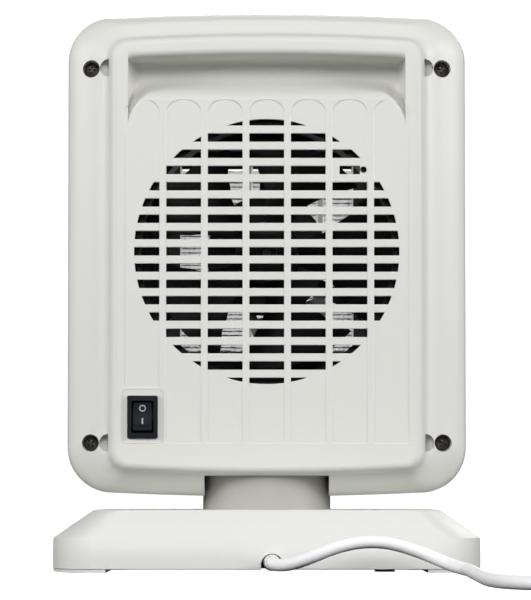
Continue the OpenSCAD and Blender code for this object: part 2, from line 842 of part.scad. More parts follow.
module ptc_bars() {
    color("darkgray") for (i = [1:banks - 1]) translate([bank_x(i) - bar_w, 0, 0])
        block([0, core_y0 + 1, fan_z - core_hz], [bar_w, core_y1 - 1, fan_z + core_hz]);
}

module ptc_terminals() {
    color("goldenrod") for (i = [1, 2, 4]) {
        x = bank_x(i) - bar_w / 2;
        block([x - 3.2, -42.5, fan_z - core_hz - 5], [x + 3.2, -41.7, fan_z - core_hz + 2]);
        block([x - 3.2, -42.5, fan_z - core_hz + 1], [x + 3.2, core_y0, fan_z - core_hz + 2]);
    }
}

module thermal_cutout() {
    top = fan_z + duct_hz + duct_t;
    color("tan") {
        block([12, -44, top], [34, -34, top + 1]);
        translate([23, -39, top + 1]) cylinder(r = 5, h = 6);
        for (x = [14, 29]) block([x, -39.4, top + 1], [x + 3, -38.6, top + 9]);
    }
}

// ---------- head: controls ----------

module switch_body(x) {
    difference() {
        union() {
            block([x - 15, -55, knob_z - 13], [x + 15, -38, knob_z + 13]);
            rod_y(x, knob_z, panel_back, -54, 5);
            block([x - 18, panel_back, knob_z - 4], [x + 18, panel_back + 1.5, knob_z + 4]);
            for (s = [-1, 1]) block([x + s * 12 - 2, panel_back, knob_z - 4], [x + s * 12 + 2, -54, knob_z + 4]);
        }
        rod_y(x, knob_z, -70, -42, knob_shaft_r + running_gap);
    }
}

module mode_switch() {
    color("dimgray") switch_body(knob_x);
}

module thermostat() {
    color("tan") {
        switch_body(-knob_x);
        block([-knob_x - 3, -38, knob_z - 13], [-knob_x + 3, -37, knob_z + 12]);
        block([-knob_x - 3, -37, knob_z + 8], [-knob_x + 3, -32, knob_z + 12]);
        block([-knob_x - 3, -33, knob_z - 14], [-knob_x + 3, -32, knob_z + 8.5]);
    }
}

module knob_shaft(x) {
    rod_y(x, knob_z, -76, -43, knob_shaft_r);
}

module mode_shaft() {
    color("silver") knob_shaft(knob_x);
}

module thermostat_shaft() {
    color("silver") knob_shaft(-knob_x);
}

module knob(x) {
    difference() {
        union() {
            rod_y(x, knob_z, -70, -67, knob_r);
            translate([x, -70, knob_z]) rotate([90, 0, 0]) cylinder(r1 = knob_r - 1.5, r2 = knob_r - 3.5, h = 10);
            rod_y(x, knob_z, -80.5, -79, knob_r - 5);
            block([x - 0.8, -81, knob_z + 4], [x + 0.8, -79, knob_z + knob_r - 4]);
        }
        rod_y(x, knob_z, -76, -60, knob_shaft_r);
    }
}

module mode_knob() {
    color("dimgray") knob(knob_x);
}

module thermostat_knob() {
    color("dimgray") knob(-knob_x);
}

module swing_switch() {
    color("dimgray") difference() {
        union() {
            block([-9, -56, button_z - 8], [9, -40, button_z + 8]);
            for (s = [-1, 1]) block([s * 8 - 1, panel_back, button_z - 6], [s * 8 + 1, -55, button_z + 6]);
        }
        rod_y(0, button_z, -58, -44, 3 + running_gap);
    }
}

module swing_button() {
    color("gray") {
        rod_y(0, button_z, -70, -61.5, 6);
        rod_y(0, button_z, -62, -49, 3);
    }
}

module indicator_lens() {
    color("orangered") {
        rod_y(0, lamp_z, front_y - 1.2, -58, 2.95);
        rod_y(0, lamp_z, -62, -61, 4.2);
    }
}

module head_loom() {
    route = [[0, 0, 16], [0, 0, 64], [70, -8, 66], [70, -8, 205], [55, -28, 222]];
    color("saddlebrown") {
        for (i = [0:len(route) - 2]) wire(route[i], route[i + 1], 2.5);
        wire([70, -8, 75.8], [63, 8, 75.8], 1.6);
        wire([70, -8, 100], [70, -36, 100], 1.6);
        wire([70, -36, 100], [40, -44.5, 82], 1.6);
        wire([40, -44.5, 82], [12, -44.5, 98], 1.6);
    }
}

// ---------- head: power switch ----------

module power_switch() {
    color("black") difference() {
        union() {
            along_y(back_y, back_y + 1.6) translate([switch_x - switch_w / 2, switch_z - switch_h / 2])
                square([switch_w, switch_h]);
            block([switch_x - 6.4, 18, switch_z - 9.5], [switch_x + 6.4, back_y + 0.2, switch_z + 9.5]);
        }
        block([switch_x - rocker_w / 2 - 0.4, 26, switch_z - rocker_h / 2 - 0.6],
              [switch_x + rocker_w / 2 + 0.4, back_y + 3, switch_z + rocker_h / 2 + 0.6]);
        translate([switch_x - 6, rocker_y, switch_z]) rotate([0, 90, 0]) cylinder(r = 1 + running_gap, h = 12);
    }
    color("goldenrod") for (z = [-5, 5])
        block([switch_x - 3, 9, switch_z + z - 0.4], [switch_x + 3, 18.2, switch_z + z + 0.4]);
}

// shown switched off: its upper end pressed in and its lower end proud
module power_rocker() {
    end = rocker_h / 2 - 0.1;
    color("black") translate([switch_x, rocker_y, switch_z]) rotate([rocker_tilt, 0, 0]) {
        rotate([90, 0, 90]) translate([0, 0, -rocker_w / 2]) linear_extrude(rocker_w)
            polygon([[-5, -4], [-5, 4], [-0.5, end], [3.2, end], [2.2, 0], [3.2, -end], [-0.5, -end]]);
        translate([-5.9, 0, 0]) rotate([0, 90, 0]) cylinder(r = 1, h = 11.8);
    }
}

// ---------- lead ----------

// direction of the route at point i
function heading(p, i) =
    let (d = p[min(i + 1, len(p) - 1)] - p[max(i - 1, 0)]) d / norm(d);

// one ring of the tube round point i
function tube_ring(p, i, r) =
    let (t = heading(p, i), side = cross([0, 0, 1], t), u = side / norm(side), v = cross(t, u))
    [for (k = [0:cord_sides - 1]) let (a = 360 * k / cord_sides) p[i] + r * (cos(a) * u + sin(a) * v)];

module tube(p, r) {
    n = len(p);
    m = cord_sides;
    points = [for (i = [0:n - 1], q = tube_ring(p, i, r)) q];
    sides = [for (i = [0:n - 2], k = [0:m - 1])
        [i * m + k, (i + 1) * m + k, (i + 1) * m + (k + 1) % m, i * m + (k + 1) % m]];
    polyhedron(points, concat(sides, [[for (k = [0:m - 1]) k], [for (k = [0:m - 1]) n * m - 1 - k]]));
}

module mains_cord() {
    color("white") tube(cord_route, cord_d / 2);
}

module cord_coil() {
    color("white") translate([coil_c[0], coil_c[1], 0])
        rotate_extrude() translate([coil_r - coil_half, 0]) square([2 * coil_half, coil_h]);
}

module coil_tie() {
    color("black") translate([coil_c[0], coil_c[1] - coil_r, 0]) difference() {
        block([-tie_w / 2, -tie_half, 0.2], [tie_w / 2, tie_half, coil_h + 0.1 + tie_t]);
        block([-tie_w, tie_t - tie_half, -1], [tie_w, tie_half - tie_t, coil_h + 0.1]);
    }
}

// the plug lies on the coil and points to -X
module plug_body() {
    neck_len = 12;
    color("white") translate([plug_tail[0], plug_tail[1], coil_h + 0.1]) {
        block([-plug_len, -plug_half, 0], [-neck_len, plug_half, plug_h]);
        block([-neck_len - 1, 4 - plug_half, 2], [0, plug_half - 4, plug_h - 2]);
    }
}

module plug_blades() {
    color("gold") translate([plug_tail[0] - plug_len, plug_tail[1], coil_h + 0.1 + plug_h / 2])
        for (s = [-1, 1])
            block([-blade_len, s * blade_half_gap - 0.75, -3.2], [0, s * blade_half_gap + 0.75, 3.2]);
}

base_shell();
base_plate();
base_feet();
base_screws();
base_inner_screws();
ballast_plate();
neck_column();
swing_motor();
cord_grip();
cord_clamp();
terminal_block();
base_leads();
tip_switch();
tip_plunger();
swivel_washer();
mains_cord();
cord_coil();
coil_tie();
plug_body();
plug_blades();
front_housing();
rear_cover();
cover_screws();
front_panel();
outlet_grille();
swivel_spindle();
spindle_screws();
sector_gear();
spindle_ring();
drive_pinion();
fan_shroud();
motor_mount();
motor_stator();
motor_coil();
motor_endbells();
motor_bushes();
motor_rotor();
motor_shaft();
fan_impeller();
heat_duct();
ptc_frame();
ptc_fins();
ptc_bars();
ptc_terminals();
thermal_cutout();
mode_switch();
mode_shaft();
mode_knob();
thermostat();
thermostat_shaft();
thermostat_knob();
swing_switch();
swing_button();
indicator_lens();
head_loom();
power_switch();
power_rocker();
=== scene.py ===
"""Looks of the ceramic space heater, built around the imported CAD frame.

Sizes in this script are millimetres unless a name says otherwise, and MM turns them into metres.
+Z is up, the front faces -Y and the air inlet faces +Y.
"""
import json
import math
import random

import bmesh
import bpy
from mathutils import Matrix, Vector

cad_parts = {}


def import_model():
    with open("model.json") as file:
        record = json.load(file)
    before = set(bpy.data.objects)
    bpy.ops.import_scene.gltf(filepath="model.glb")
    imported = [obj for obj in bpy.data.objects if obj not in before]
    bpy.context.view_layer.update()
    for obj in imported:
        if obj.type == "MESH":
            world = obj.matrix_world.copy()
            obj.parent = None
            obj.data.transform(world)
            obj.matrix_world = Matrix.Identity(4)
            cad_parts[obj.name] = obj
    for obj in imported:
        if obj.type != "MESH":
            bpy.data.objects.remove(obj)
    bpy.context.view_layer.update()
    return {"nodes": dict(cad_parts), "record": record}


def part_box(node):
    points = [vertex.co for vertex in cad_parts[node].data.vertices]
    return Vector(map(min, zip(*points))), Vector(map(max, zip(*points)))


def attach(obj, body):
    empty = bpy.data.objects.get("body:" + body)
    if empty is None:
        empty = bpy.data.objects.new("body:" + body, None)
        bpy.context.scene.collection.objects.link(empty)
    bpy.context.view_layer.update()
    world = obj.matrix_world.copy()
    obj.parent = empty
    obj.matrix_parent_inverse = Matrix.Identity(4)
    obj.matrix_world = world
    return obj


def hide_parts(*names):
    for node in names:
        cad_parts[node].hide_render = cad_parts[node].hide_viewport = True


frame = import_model()
MM = 0.001
SEED = 7


def span(node):
    """Lowest and highest corner of a CAD node in millimetres."""
    low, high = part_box(node)
    return low / MM, high / MM


# --- sizes, taken from the frame ---

HOUSING_HI = span("front_housing")[1]
COVER_LO, COVER_HI = span("rear_cover")
PANEL_LO = span("front_panel")[0]
BASE_LO, BASE_HI = span("base_shell")
SHAFT_LO, SHAFT_HI = span("motor_shaft")
FAN_HI = span("fan_impeller")[1]
NECK_LO, NECK_HI = span("neck_column")
HEAD_HX = COVER_HI.x
HEAD_LO = COVER_LO.z
HEAD_HI = COVER_HI.z
SPLIT_Y = HOUSING_HI.y
BACK_Y = COVER_HI.y
FRONT_Y = PANEL_LO.y
FAN_Z = (SHAFT_LO.z + SHAFT_HI.z) / 2
WALL = 2.4

# --- shared mesh helpers ---


def in_scene(name, data):
    """A new object that shows the data, linked to the scene."""
    obj = bpy.data.objects.new(name, data)
    bpy.context.scene.collection.objects.link(obj)
    return obj


def new_object(name, verts, faces):
    """A mesh object from points in millimetres, with its faces turned outwards."""
    mesh = bpy.data.meshes.new(name)
    mesh.from_pydata([(x * MM, y * MM, z * MM) for x, y, z in verts], [], faces)
    bm = bmesh.new()
    bm.from_mesh(mesh)
    bmesh.ops.recalc_face_normals(bm, faces=bm.faces)
    bm.to_mesh(mesh)
    bm.free()
    return in_scene(name, mesh)


def loft(rings, loop=False):
    """A skin over rings of equal length, closed at both ends. loop joins the last ring to the first."""
    n = len(rings[0])
    verts = [p for ring in rings for p in ring]
    faces = []
    steps = len(rings) if loop else len(rings) - 1
    for i in range(steps):
        j = (i + 1) % len(rings)
        for k in range(n):
            m = (k + 1) % n
            faces.append((i * n + k, i * n + m, j * n + m, j * n + k))
    if not loop:
        faces.append(tuple(reversed(range(n))))
        faces.append(tuple(range((len(rings) - 1) * n, len(rings) * n)))
    return verts, faces


def hollow(outer, inner):
    """A moulding's skin: its outer rings, then its inner ones, with flat faces where they meet."""
    n, k = len(outer[0]), len(outer) - 1
    verts, faces = loft(outer + inner, loop=True)
    faces = [f for f in faces if not (k * n <= min(f) and max(f) < (k + 2) * n)]
    return verts, faces + [tuple(range(k * n, (k + 1) * n)), tuple(reversed(range((k + 1) * n, (k + 2) * n)))]


def merge(parts):
    """Several (verts, faces) pairs as one."""
    verts, faces = [], []
    for v, f in parts:
        start = len(verts)
        verts += v
        faces += [tuple(i + start for i in face) for face in f]
    return verts, faces


def bake(obj):
    """Applies the object's modifiers to its mesh."""
    graph = bpy.context.evaluated_depsgraph_get()
    mesh = bpy.data.meshes.new_from_object(obj.evaluated_get(graph))
    old = obj.data
    obj.modifiers.clear()
    obj.data = mesh
    bpy.data.meshes.remove(old)


def carve(obj, shape, operation="DIFFERENCE"):
    """Boolean of obj with a (verts, faces) shape."""
    tool = new_object("tool", *shape)
    mod = obj.modifiers.new("carve", "BOOLEAN")
    mod.operation = operation
    mod.solver = "EXACT"
    mod.object = tool
    bake(obj)
    bpy.data.objects.remove(tool)


def dress(obj, body, slot, replaces=(), look=None, angle=38, weighted=True):
    """Shading, material and body of a finished piece, the material picked by its slot. look replaces its
    slot's own material.
    """
    obj.data.materials.clear()
    obj.data.materials.append(look or SLOT_OF[slot])
    if obj.type == "MESH":
        obj.data.shade_smooth()
        obj.data.set_sharp_from_angle(angle=math.radians(angle))
        if weighted:
            mod = obj.modifiers.new("even_shading", "WEIGHTED_NORMAL")
            mod.keep_sharp = True
    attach(obj, body)
    if replaces:
        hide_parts(*replaces)
    return obj


def piece(name, shape, *args, **kwargs):
    """A finished piece made from a (verts, faces) shape. The rest is passed on to dress."""
    return dress(new_object(name, *shape), *args, **kwargs)


def arc(cx, cy, rx, ry, start, end, steps):
    """Points of an ellipse's arc, angles in degrees."""
    angles = [math.radians(start + (end - start) * i / steps) for i in range(steps + 1)]
    return [(cx + rx * math.cos(a), cy + ry * math.sin(a)) for a in angles]


def smooth(t):
    """0 below 0, 1 above 1, and a smooth step between."""
    t = min(1, max(0, t))
    return t * t * (3 - 2 * t)


def soft_rect(hx, hz, r, steps=5):
    """Outline of a rectangle with round corners, centred on 0."""
    x, z = hx - r, hz - r
    return (
        arc(x, z, r, r, 0, 90, steps)
        + arc(-x, z, r, r, 90, 180, steps)
        + arc(-x, -z, r, r, 180, 270, steps)
        + arc(x, -z, r, r, 270, 360, steps)
    )


def at_y(outline, y, x0=0, z0=0):
    """An outline drawn in X and Z, placed at depth y."""
    return [(x0 + x, y, z0 + z) for x, z in outline]


def at_z(outline, z, x0=0, y0=0):
    """An outline drawn in X and Y, placed at height z."""
    return [(x0 + x, y0 + y, z) for x, y in outline]


def round_block(hx, hz, y0, y1, r, edge, x0=0, z0=0):
    """A block along Y with round corners and softened front and back edges."""
    soft = [(edge, max(r - edge, 0.1), 0), (edge * 0.3, r, edge * 0.3), (0, r, edge)]
    stations = [(inset, corner, y0 + step) for inset, corner, step in soft]
    stations += [(inset, corner, y1 - step) for inset, corner, step in reversed(soft)]
    return loft([at_y(soft_rect(hx - inset, hz - inset, corner), y, x0, z0)
                 for inset, corner, y in stations])


def lathe_y(profile, x0, z0, steps=48, wobble=None, loop=False):
    """A body turned about a line along Y, from (radius, y) points. wobble gives the radius at an angle."""
    rings = []
    for r, y in profile:
        ring = []
        for k in range(steps):
            a = 2 * math.pi * k / steps
            rr = wobble(r, y, a) if wobble else r
            ring.append((x0 + rr * math.cos(a), y, z0 + rr * math.sin(a)))
        rings.append(ring)
    return loft(rings, loop=loop)


def circle(r, x0=0, z0=0, steps=48):
    """A circle's outline, without its doubled last point."""
    return arc(x0, z0, r, r, 0, 360, steps)[:-1]


def rect(x0, x1, z0, z1):
    """A rectangle's outline."""
    return [(x0, z0), (x1, z0), (x1, z1), (x0, z1)]


def turned(points, angle, x0, z0):
    """An outline turned about 0 and then moved."""
    c, s = math.cos(angle), math.sin(angle)
    return [(x0 + u * c - v * s, z0 + u * s + v * c) for u, v in points]


def prism_y(outline, y0, y1):
    """A straight prism along Y."""
    return loft([at_y(outline, y0), at_y(outline, y1)])


def rod_z(r, z0, z1, x0=0, y0=0, steps=96):
    """A round rod along Z."""
    return loft([at_z(circle(r, x0, y0, steps), z) for z in (z0, z1)])


# --- materials ---


def fill(node, values):
    """Sets a shader node's inputs by name or number."""
    for key, value in values.items():
        node.inputs[key].default_value = value


def add(nodes, kind, values=None):
    """A new shader node, with some of its inputs set."""
    node = nodes.new("ShaderNode" + kind)
    fill(node, values or {})
    return node


def material(name, colour, roughness, metallic=0, mottle=0.03, mottle_mm=30, grain_mm=0.5,
             bump=0.15, depth_mm=0.02, spread=0.06, stretch=(1, 1, 1), specular=0.5,
             transmission=0):
    """A procedural surface: colour that drifts a little, uneven gloss and a fine grain."""
    mat = bpy.data.materials.new(name)
    mat.use_nodes = True
    nodes, links = mat.node_tree.nodes, mat.node_tree.links
    shader = nodes["Principled BSDF"]
    fill(shader, {"Metallic": metallic, "Specular IOR Level": specular, "Transmission Weight": transmission})
    place = add(nodes, "TexCoord")
    scale = add(nodes, "Mapping", {"Scale": stretch})
    links.new(place.outputs["Object"], scale.inputs["Vector"])

    def field(size_mm, detail):
        tex = add(nodes, "TexNoise", {"Scale": 1 / (size_mm * MM), "Detail": detail})
        links.new(scale.outputs["Vector"], tex.inputs["Vector"])
        return tex.outputs["Fac"]

    drift = field(mottle_mm, 3)
    tint = add(nodes, "Mix")
    tint.data_type = "RGBA"
    fill(tint, {"A": (*[min(1, c * (1 - mottle)) for c in colour], 1),
                "B": (*[min(1, c * (1 + mottle)) for c in colour], 1)})
    links.new(drift, tint.inputs["Factor"])
    links.new(tint.outputs["Result"], shader.inputs["Base Color"])
    gloss = add(nodes, "MapRange", {"To Min": max(0.02, roughness - spread),
                                    "To Max": min(1, roughness + spread)})
    links.new(field(mottle_mm / 4, 4), gloss.inputs["Value"])
    links.new(gloss.outputs["Result"], shader.inputs["Roughness"])
    relief = add(nodes, "Bump", {"Strength": bump, "Distance": depth_mm * MM})
    links.new(field(grain_mm, 2), relief.inputs["Height"])
    links.new(relief.outputs["Normal"], shader.inputs["Normal"])
    return mat


MOULDED = {"bump": 0.2, "depth_mm": 0.015, "grain_mm": 0.35}
SHELL = material("shell", (0.735, 0.735, 0.70), 0.38, specular=0.35, mottle=0.008, **MOULDED)
BASE = material("base", (0.765, 0.77, 0.74), 0.5, specular=0.22, mottle=0.008, **MOULDED)
# The neck's colour is the shell plastic darkened: painted shade for the shadow under the head.
NECK_PAINTED_SHADE = material("neck", (0.41, 0.405, 0.37), 0.45, mottle=0.01, **MOULDED)
INNER = material("inner", (0.66, 0.66, 0.63), 0.5, mottle=0.02)
BLACK = material("black", (0.008, 0.008, 0.008), 0.5, mottle=0.15, bump=0.25, specular=0.2)
SWITCH = material("switch", (0.01, 0.012, 0.016), 0.48, mottle=0.1, bump=0.3, grain_mm=0.25, specular=0.12)
GREY = material("grey", (0.17, 0.175, 0.18), 0.45, mottle=0.05, bump=0.3)
SIGNAL = material("signal", (0.8, 0.17, 0.05), 0.12, mottle=0.05, transmission=0.6, bump=0.05)
NYLON = material("nylon", (0.82, 0.81, 0.77), 0.38, mottle=0.02)
SCREW = material("screw", (0.10, 0.095, 0.075), 0.45, metallic=0.85, mottle=0.25, mottle_mm=2.5, bump=0.4)
STEEL = material("steel", (0.6, 0.6, 0.6), 0.32, metallic=1, stretch=(1, 1, 12), bump=0.2, grain_mm=2)
LAMINATION = material("lamination", (0.26, 0.26, 0.28), 0.4, metallic=0.9, stretch=(0.02, 2, 0.02),
                      mottle=0.3, mottle_mm=1.2, bump=0.7, depth_mm=0.1)
COPPER = material("copper", (0.72, 0.36, 0.16), 0.3, metallic=0.9, stretch=(0.1, 3, 3), mottle=0.2,
                  mottle_mm=1.5, bump=0.8, depth_mm=0.15, grain_mm=1.2)
BRONZE = material("bronze", (0.6, 0.42, 0.2), 0.4, metallic=0.9, mottle=0.1)
FINS = material("fins", (0.95, 0.96, 0.97), 0.3, metallic=0.6, mottle=0.06, mottle_mm=4, bump=0.6,
                depth_mm=0.1, grain_mm=1, spread=0.1)
CERAMIC = material("ceramic", (0.5, 0.48, 0.44), 0.7, mottle=0.12, mottle_mm=3, bump=0.4)
WIRE = material("wire", (0.3, 0.12, 0.06), 0.4, mottle=0.06)
CORD = material("cord", (0.97, 0.975, 0.985), 0.5, mottle=0.012, mottle_mm=12, bump=0.12)
RUBBER = material("rubber", (0.09, 0.09, 0.09), 0.75, mottle=0.12, bump=0.5)
MARK = material("mark", (0.42, 0.43, 0.45), 0.5, mottle=0.03)
DULL = material("dull_steel", (0.05, 0.05, 0.05), 0.5, metallic=0.8, mottle=0.2)
BLADE = material("blade", (0.83, 0.62, 0.3), 0.25, metallic=1, mottle=0.05)

SLOT_OF = {
    "shell_plastic": SHELL, "base_plastic": BASE, "inner_plastic": INNER, "black_plastic": BLACK,
    "switch_plastic": SWITCH, "grey_plastic": GREY, "signal_plastic": SIGNAL,
    "white_nylon": NYLON, "screw_steel": SCREW, "steel": STEEL, "lamination": LAMINATION,
    "copper": COPPER, "bronze": BRONZE, "fin_aluminium": FINS, "ptc_ceramic": CERAMIC,
    "wire_jacket": WIRE, "cord_jacket": CORD, "foot_rubber": RUBBER,
}

# --- camera ---

CAMERA_X = 0.6
CAMERA_Y = 1840
CAMERA_Z = 37
CAMERA_TILT = 3.06
CAMERA_LENS = 220.3
optics = bpy.data.cameras.new("camera")
optics.lens = CAMERA_LENS
optics.sensor_width = 36
optics.clip_end = 30
camera = in_scene("camera", optics)
camera.location = (CAMERA_X * MM, CAMERA_Y * MM, CAMERA_Z * MM)
camera.rotation_euler = (math.radians(90 + CAMERA_TILT), 0, math.radians(180))
bpy.context.scene.camera = camera

# --- mains lead ---

CORD_D = 6
ROUTE = [
    (-2.5, 84, 5.6), (-3.1, 89.6, 4.9), (-5, 95.4, 4.5), (-8.8, 101.4, 4.6), (-14, 106.1, 5.8),
    (-21.2, 109.7, 8.4), (-29.5, 111, 11.8), (-37.5, 111, 14.2), (-46, 110.8, 15.5), (-54, 110.6, 15.4),
    (-60, 110.5, 14.4), (-66, 110.5, 12.8), (-73, 111.4, 10.4), (-79.5, 114.1, 7.7), (-85.1, 118.4, 5.4),
    (-89.4, 124, 3.9), (-92.1, 130.5, 3.1), (-93, 137.5, 3), (-93, 150, 3), (-92.5, 175, 3), (-92, 210, 3),
    (-91.5, 250, 3), (-91, 290, 3), (-91, 325, 3), (-92, 350, 3), (-95, 370, 3), (-101, 386, 3),
    (-110.5, 398.5, 3), (-123, 408, 3), (-138, 414, 3), (-153, 416, 3),
]
COIL_C = (-153, 374)
COIL_R = 36
COIL_STEP = 6.1
COIL_TURNS = 5.6
PLUG_ARC_R = 24.5
PLUG_Z = 22.2
PLUG_LEAD_IN = 1.8
LEVEL_END = 3
CLIMB = 45
TURN_POINTS = 24
BEND_POINTS = 14
CROSSING = 0.15
STEPS_IN = (0.82, 1.82)
STEP_UP = 2.77
STEPS_OUT = (3.60, 4.60)


def coil_point(t):
    """Where the wound lead is after t turns: inwards on the floor, then outwards on top of that."""
    inwards = sum(smooth((t - start) / CROSSING) for start in STEPS_IN)
    outwards = sum(smooth((t - start) / CROSSING) for start in STEPS_OUT)
    r = COIL_R + COIL_STEP * (1 - inwards + outwards)
    z = CORD_D / 2 + COIL_STEP * smooth((t - STEP_UP) / CROSSING)
    a = math.radians(90) + 2 * math.pi * t
    return COIL_C[0] + r * math.cos(a), COIL_C[1] + r * math.sin(a), z


def lead_points():
    """The whole lead: its route, its coil, and the bend up into the plug."""
    count = round(COIL_TURNS * TURN_POINTS)
    coil = [coil_point(COIL_TURNS * i / count) for i in range(1, count + 1)]
    coil_x, coil_y, coil_z = coil[-1]
    heading = math.radians(180) + 2 * math.pi * COIL_TURNS
    left = heading + math.pi / 2
    cx = coil_x + PLUG_ARC_R * math.cos(left)
    cy = coil_y + PLUG_ARC_R * math.sin(left)
    turn = (math.pi - heading) % (2 * math.pi)
    bend = []
    for i in range(1, BEND_POINTS + 1):
        a = left + math.pi + turn * i / BEND_POINTS
        bend.append((cx + PLUG_ARC_R * math.cos(a), cy + PLUG_ARC_R * math.sin(a), coil_z))
    bend.append((bend[-1][0] - PLUG_LEAD_IN, bend[-1][1], coil_z))
    tail = coil + bend
    lengths = [0]
    for a, b in zip(tail[:-1], tail[1:]):
        lengths.append(lengths[-1] + math.dist(a, b))
    rise_start = lengths[len(coil) - 1] - CLIMB
    rise_length = lengths[-1] - rise_start - LEVEL_END
    lifted = [(x, y, z + (PLUG_Z - coil_z) * smooth((along - rise_start) / rise_length))
              for (x, y, z), along in zip(tail, lengths)]
    return ROUTE + lifted


def spline_through(points, each=3):
    """A Catmull-Rom curve through the points, with more points between them."""
    out = []
    last = len(points) - 1
    for i in range(last):
        p = [Vector(points[max(0, min(last, j))]) for j in (i - 1, i, i + 1, i + 2)]
        for k in range(each):
            t = k / each
            out.append(0.5 * (2 * p[1] + (p[2] - p[0]) * t + (2 * p[0] - 5 * p[1] + 4 * p[2] - p[3]) * t * t
                              + (3 * p[1] - p[0] - 3 * p[2] + p[3]) * t ** 3))
    out.append(Vector(points[-1]))
    return out


def curve_piece(name, points, radius):
    """A round tube along a line, as a curve of one open spline."""
    data = bpy.data.curves.new(name, "CURVE")
    data.dimensions = "3D"
    data.bevel_depth = radius * MM
    data.bevel_resolution = 5
    data.use_fill_caps = True
    spline = data.splines.new("POLY")
    spline.points.add(len(points) - 1)
    for point, place in zip(spline.points, points):
        point.co = (*(Vector(place) * MM), 1)
    return in_scene(name, data)


LEAD = spline_through(lead_points())
lead = curve_piece("lead", LEAD, CORD_D / 2)
dress(lead, "base", "cord_jacket", ["mains_cord", "cord_coil"])


def plug():
    """Two-blade plug: a rounded grip with ribs, tapering into its strain relief."""
    tail_x, y, z = LEAD[-1]
    sections = [(-2, 3.6, 3.6), (2, 4, 4), (4, 4.6, 4.4), (6, 4.2, 4.1), (8, 5, 4.8), (10, 4.7, 4.5),
                (12, 6.4, 5.6), (15, 8.2, 6.4), (20, 8.9, 6.9), (27, 8.9, 6.9), (33, 8.9, 6.9),
                (35.4, 8.4, 6.5), (36, 7.6, 5.8)]
    rings = []
    for along, hy, hz in sections:
        outline = soft_rect(hy, hz, min(hy, hz) * 0.62)
        rings.append([(tail_x - along, y + a, z + b) for a, b in outline])
    body = new_object("plug_grip", *loft(rings))
    groove = soft_rect(0.55, 9, 0.4, 3)
    for i in range(5):
        x = tail_x - 19 - 2.8 * i
        for side in (-1, 1):
            carve(body, loft([at_y(groove, y + side * d, x, z) for d in (8.3, 11.2)]))
    return dress(body, "base", "cord_jacket", ["plug_body"])


plug_grip = plug()
BLADE_HALF_GAP = 6.35


def plug_pins():
    """The plug's two flat blades, each with the usual hole near its tip."""
    x, y, z = LEAD[-1]
    parts = []
    for side in (-1, 1):
        rings = []
        for along, hy, hz in [(35, 0.75, 3.15), (51, 0.75, 3.15), (52.4, 0.6, 2.7), (53, 0.35, 2.1)]:
            blade = soft_rect(hy, hz, 0.3, 3)
            rings.append([(x - along, y + side * BLADE_HALF_GAP + a, z + b) for a, b in blade])
        parts.append(loft(rings))
    pins = new_object("plug_pins", *merge(parts))
    carve(pins, prism_y(circle(1.5, x - 47, z, 24), y - 12, y + 12))
    return dress(pins, "base", "bronze", ["plug_blades"], BLADE)


plug_blades = plug_pins()


def tie():
    """A flat strap round the coil, with its twisted tail."""
    x, y = COIL_C[0], COIL_C[1] - COIL_R
    outer, inner = soft_rect(10.6, 7.9, 3.5), soft_rect(9.6, 6.9, 2.9)
    z0 = 7.95
    shape = loft([[(x - w, y + a, z0 + b) for a, b in o]
                  for w, o in ((-2.6, inner), (-2.6, outer), (2.6, outer), (2.6, inner))], loop=True)
    knot = round_block(2.4, 2, y - 12.2, y - 10.2, 1.2, 0.6, x, z0)
    return piece("tie", merge([shape, knot]), "base", "black_plastic", ["coil_tie"])


coil_strap = tie()


def strain_relief():
    """Tapered sleeve round the lead where it leaves the base, ringed so that it can flex."""
    grip_lo, grip_hi = span("cord_grip")
    x, _, z = ROUTE[0]
    y0, y_end = grip_lo.y, grip_hi.y
    profile = [(3.05, y0), (3.85, y0 + 0.3), (3.85, y0 + 6), (4.6, y0 + 6.4), (4.6, y0 + 12)]
    for i in range(7):
        y = y0 + 13 + i * (y_end - y0 - 15) / 7
        r = 4.55 - 0.1 * i
        profile += [(r, y), (r, y + 1.2), (r - 0.35, y + 1.5), (r - 0.35, y + 2)]
    profile += [(3.6, y_end - 0.4), (3.35, y_end), (3.05, y_end)]
    sleeve = lathe_y(profile, x, z, 32, loop=True)
    return piece("strain_relief", sleeve, "base", "cord_jacket", ["cord_grip"])


relief = strain_relief()

# --- head ---

CROWN_HI = 2.1
CROWN_LO = 1.8


def head_outline(hx, lo, hi, r):
    """The head seen from behind: round corners, a crowned top and bottom."""
    x = hx - r
    across = [2 * i / 24 - 1 for i in range(1, 24)]
    top = [(-x * t, hi - CROWN_HI * t * t) for t in across]
    bottom = [(x * t, lo + CROWN_LO * t * t) for t in across]
    z_hi, z_lo = hi - CROWN_HI - r, lo + CROWN_LO + r
    side = [i / 12 for i in range(1, 12)]
    return (
        arc(x, z_hi, r, r, 0, 90, 16) + top + arc(-x, z_hi, r, r, 90, 180, 16)
        + [(-hx, z_hi + (z_lo - z_hi) * t) for t in side]
        + arc(-x, z_lo, r, r, 180, 270, 16) + bottom + arc(x, z_lo, r, r, 270, 360, 16)
        + [(hx, z_lo + (z_hi - z_lo) * t) for t in side]
    )


def head_rings(stations):
    """Rings for stations of (y, insets from the side, the bottom and the top, corner radius)."""
    return [at_y(head_outline(HEAD_HX - dx, HEAD_LO + lo, HEAD_HI - hi, r), y)
            for y, dx, lo, hi, r in stations]


def even_rings(stations):
    """Rings for stations of (y, one inset on every side, corner radius)."""
    return head_rings([(y, inset, inset, inset, r) for y, inset, r in stations])


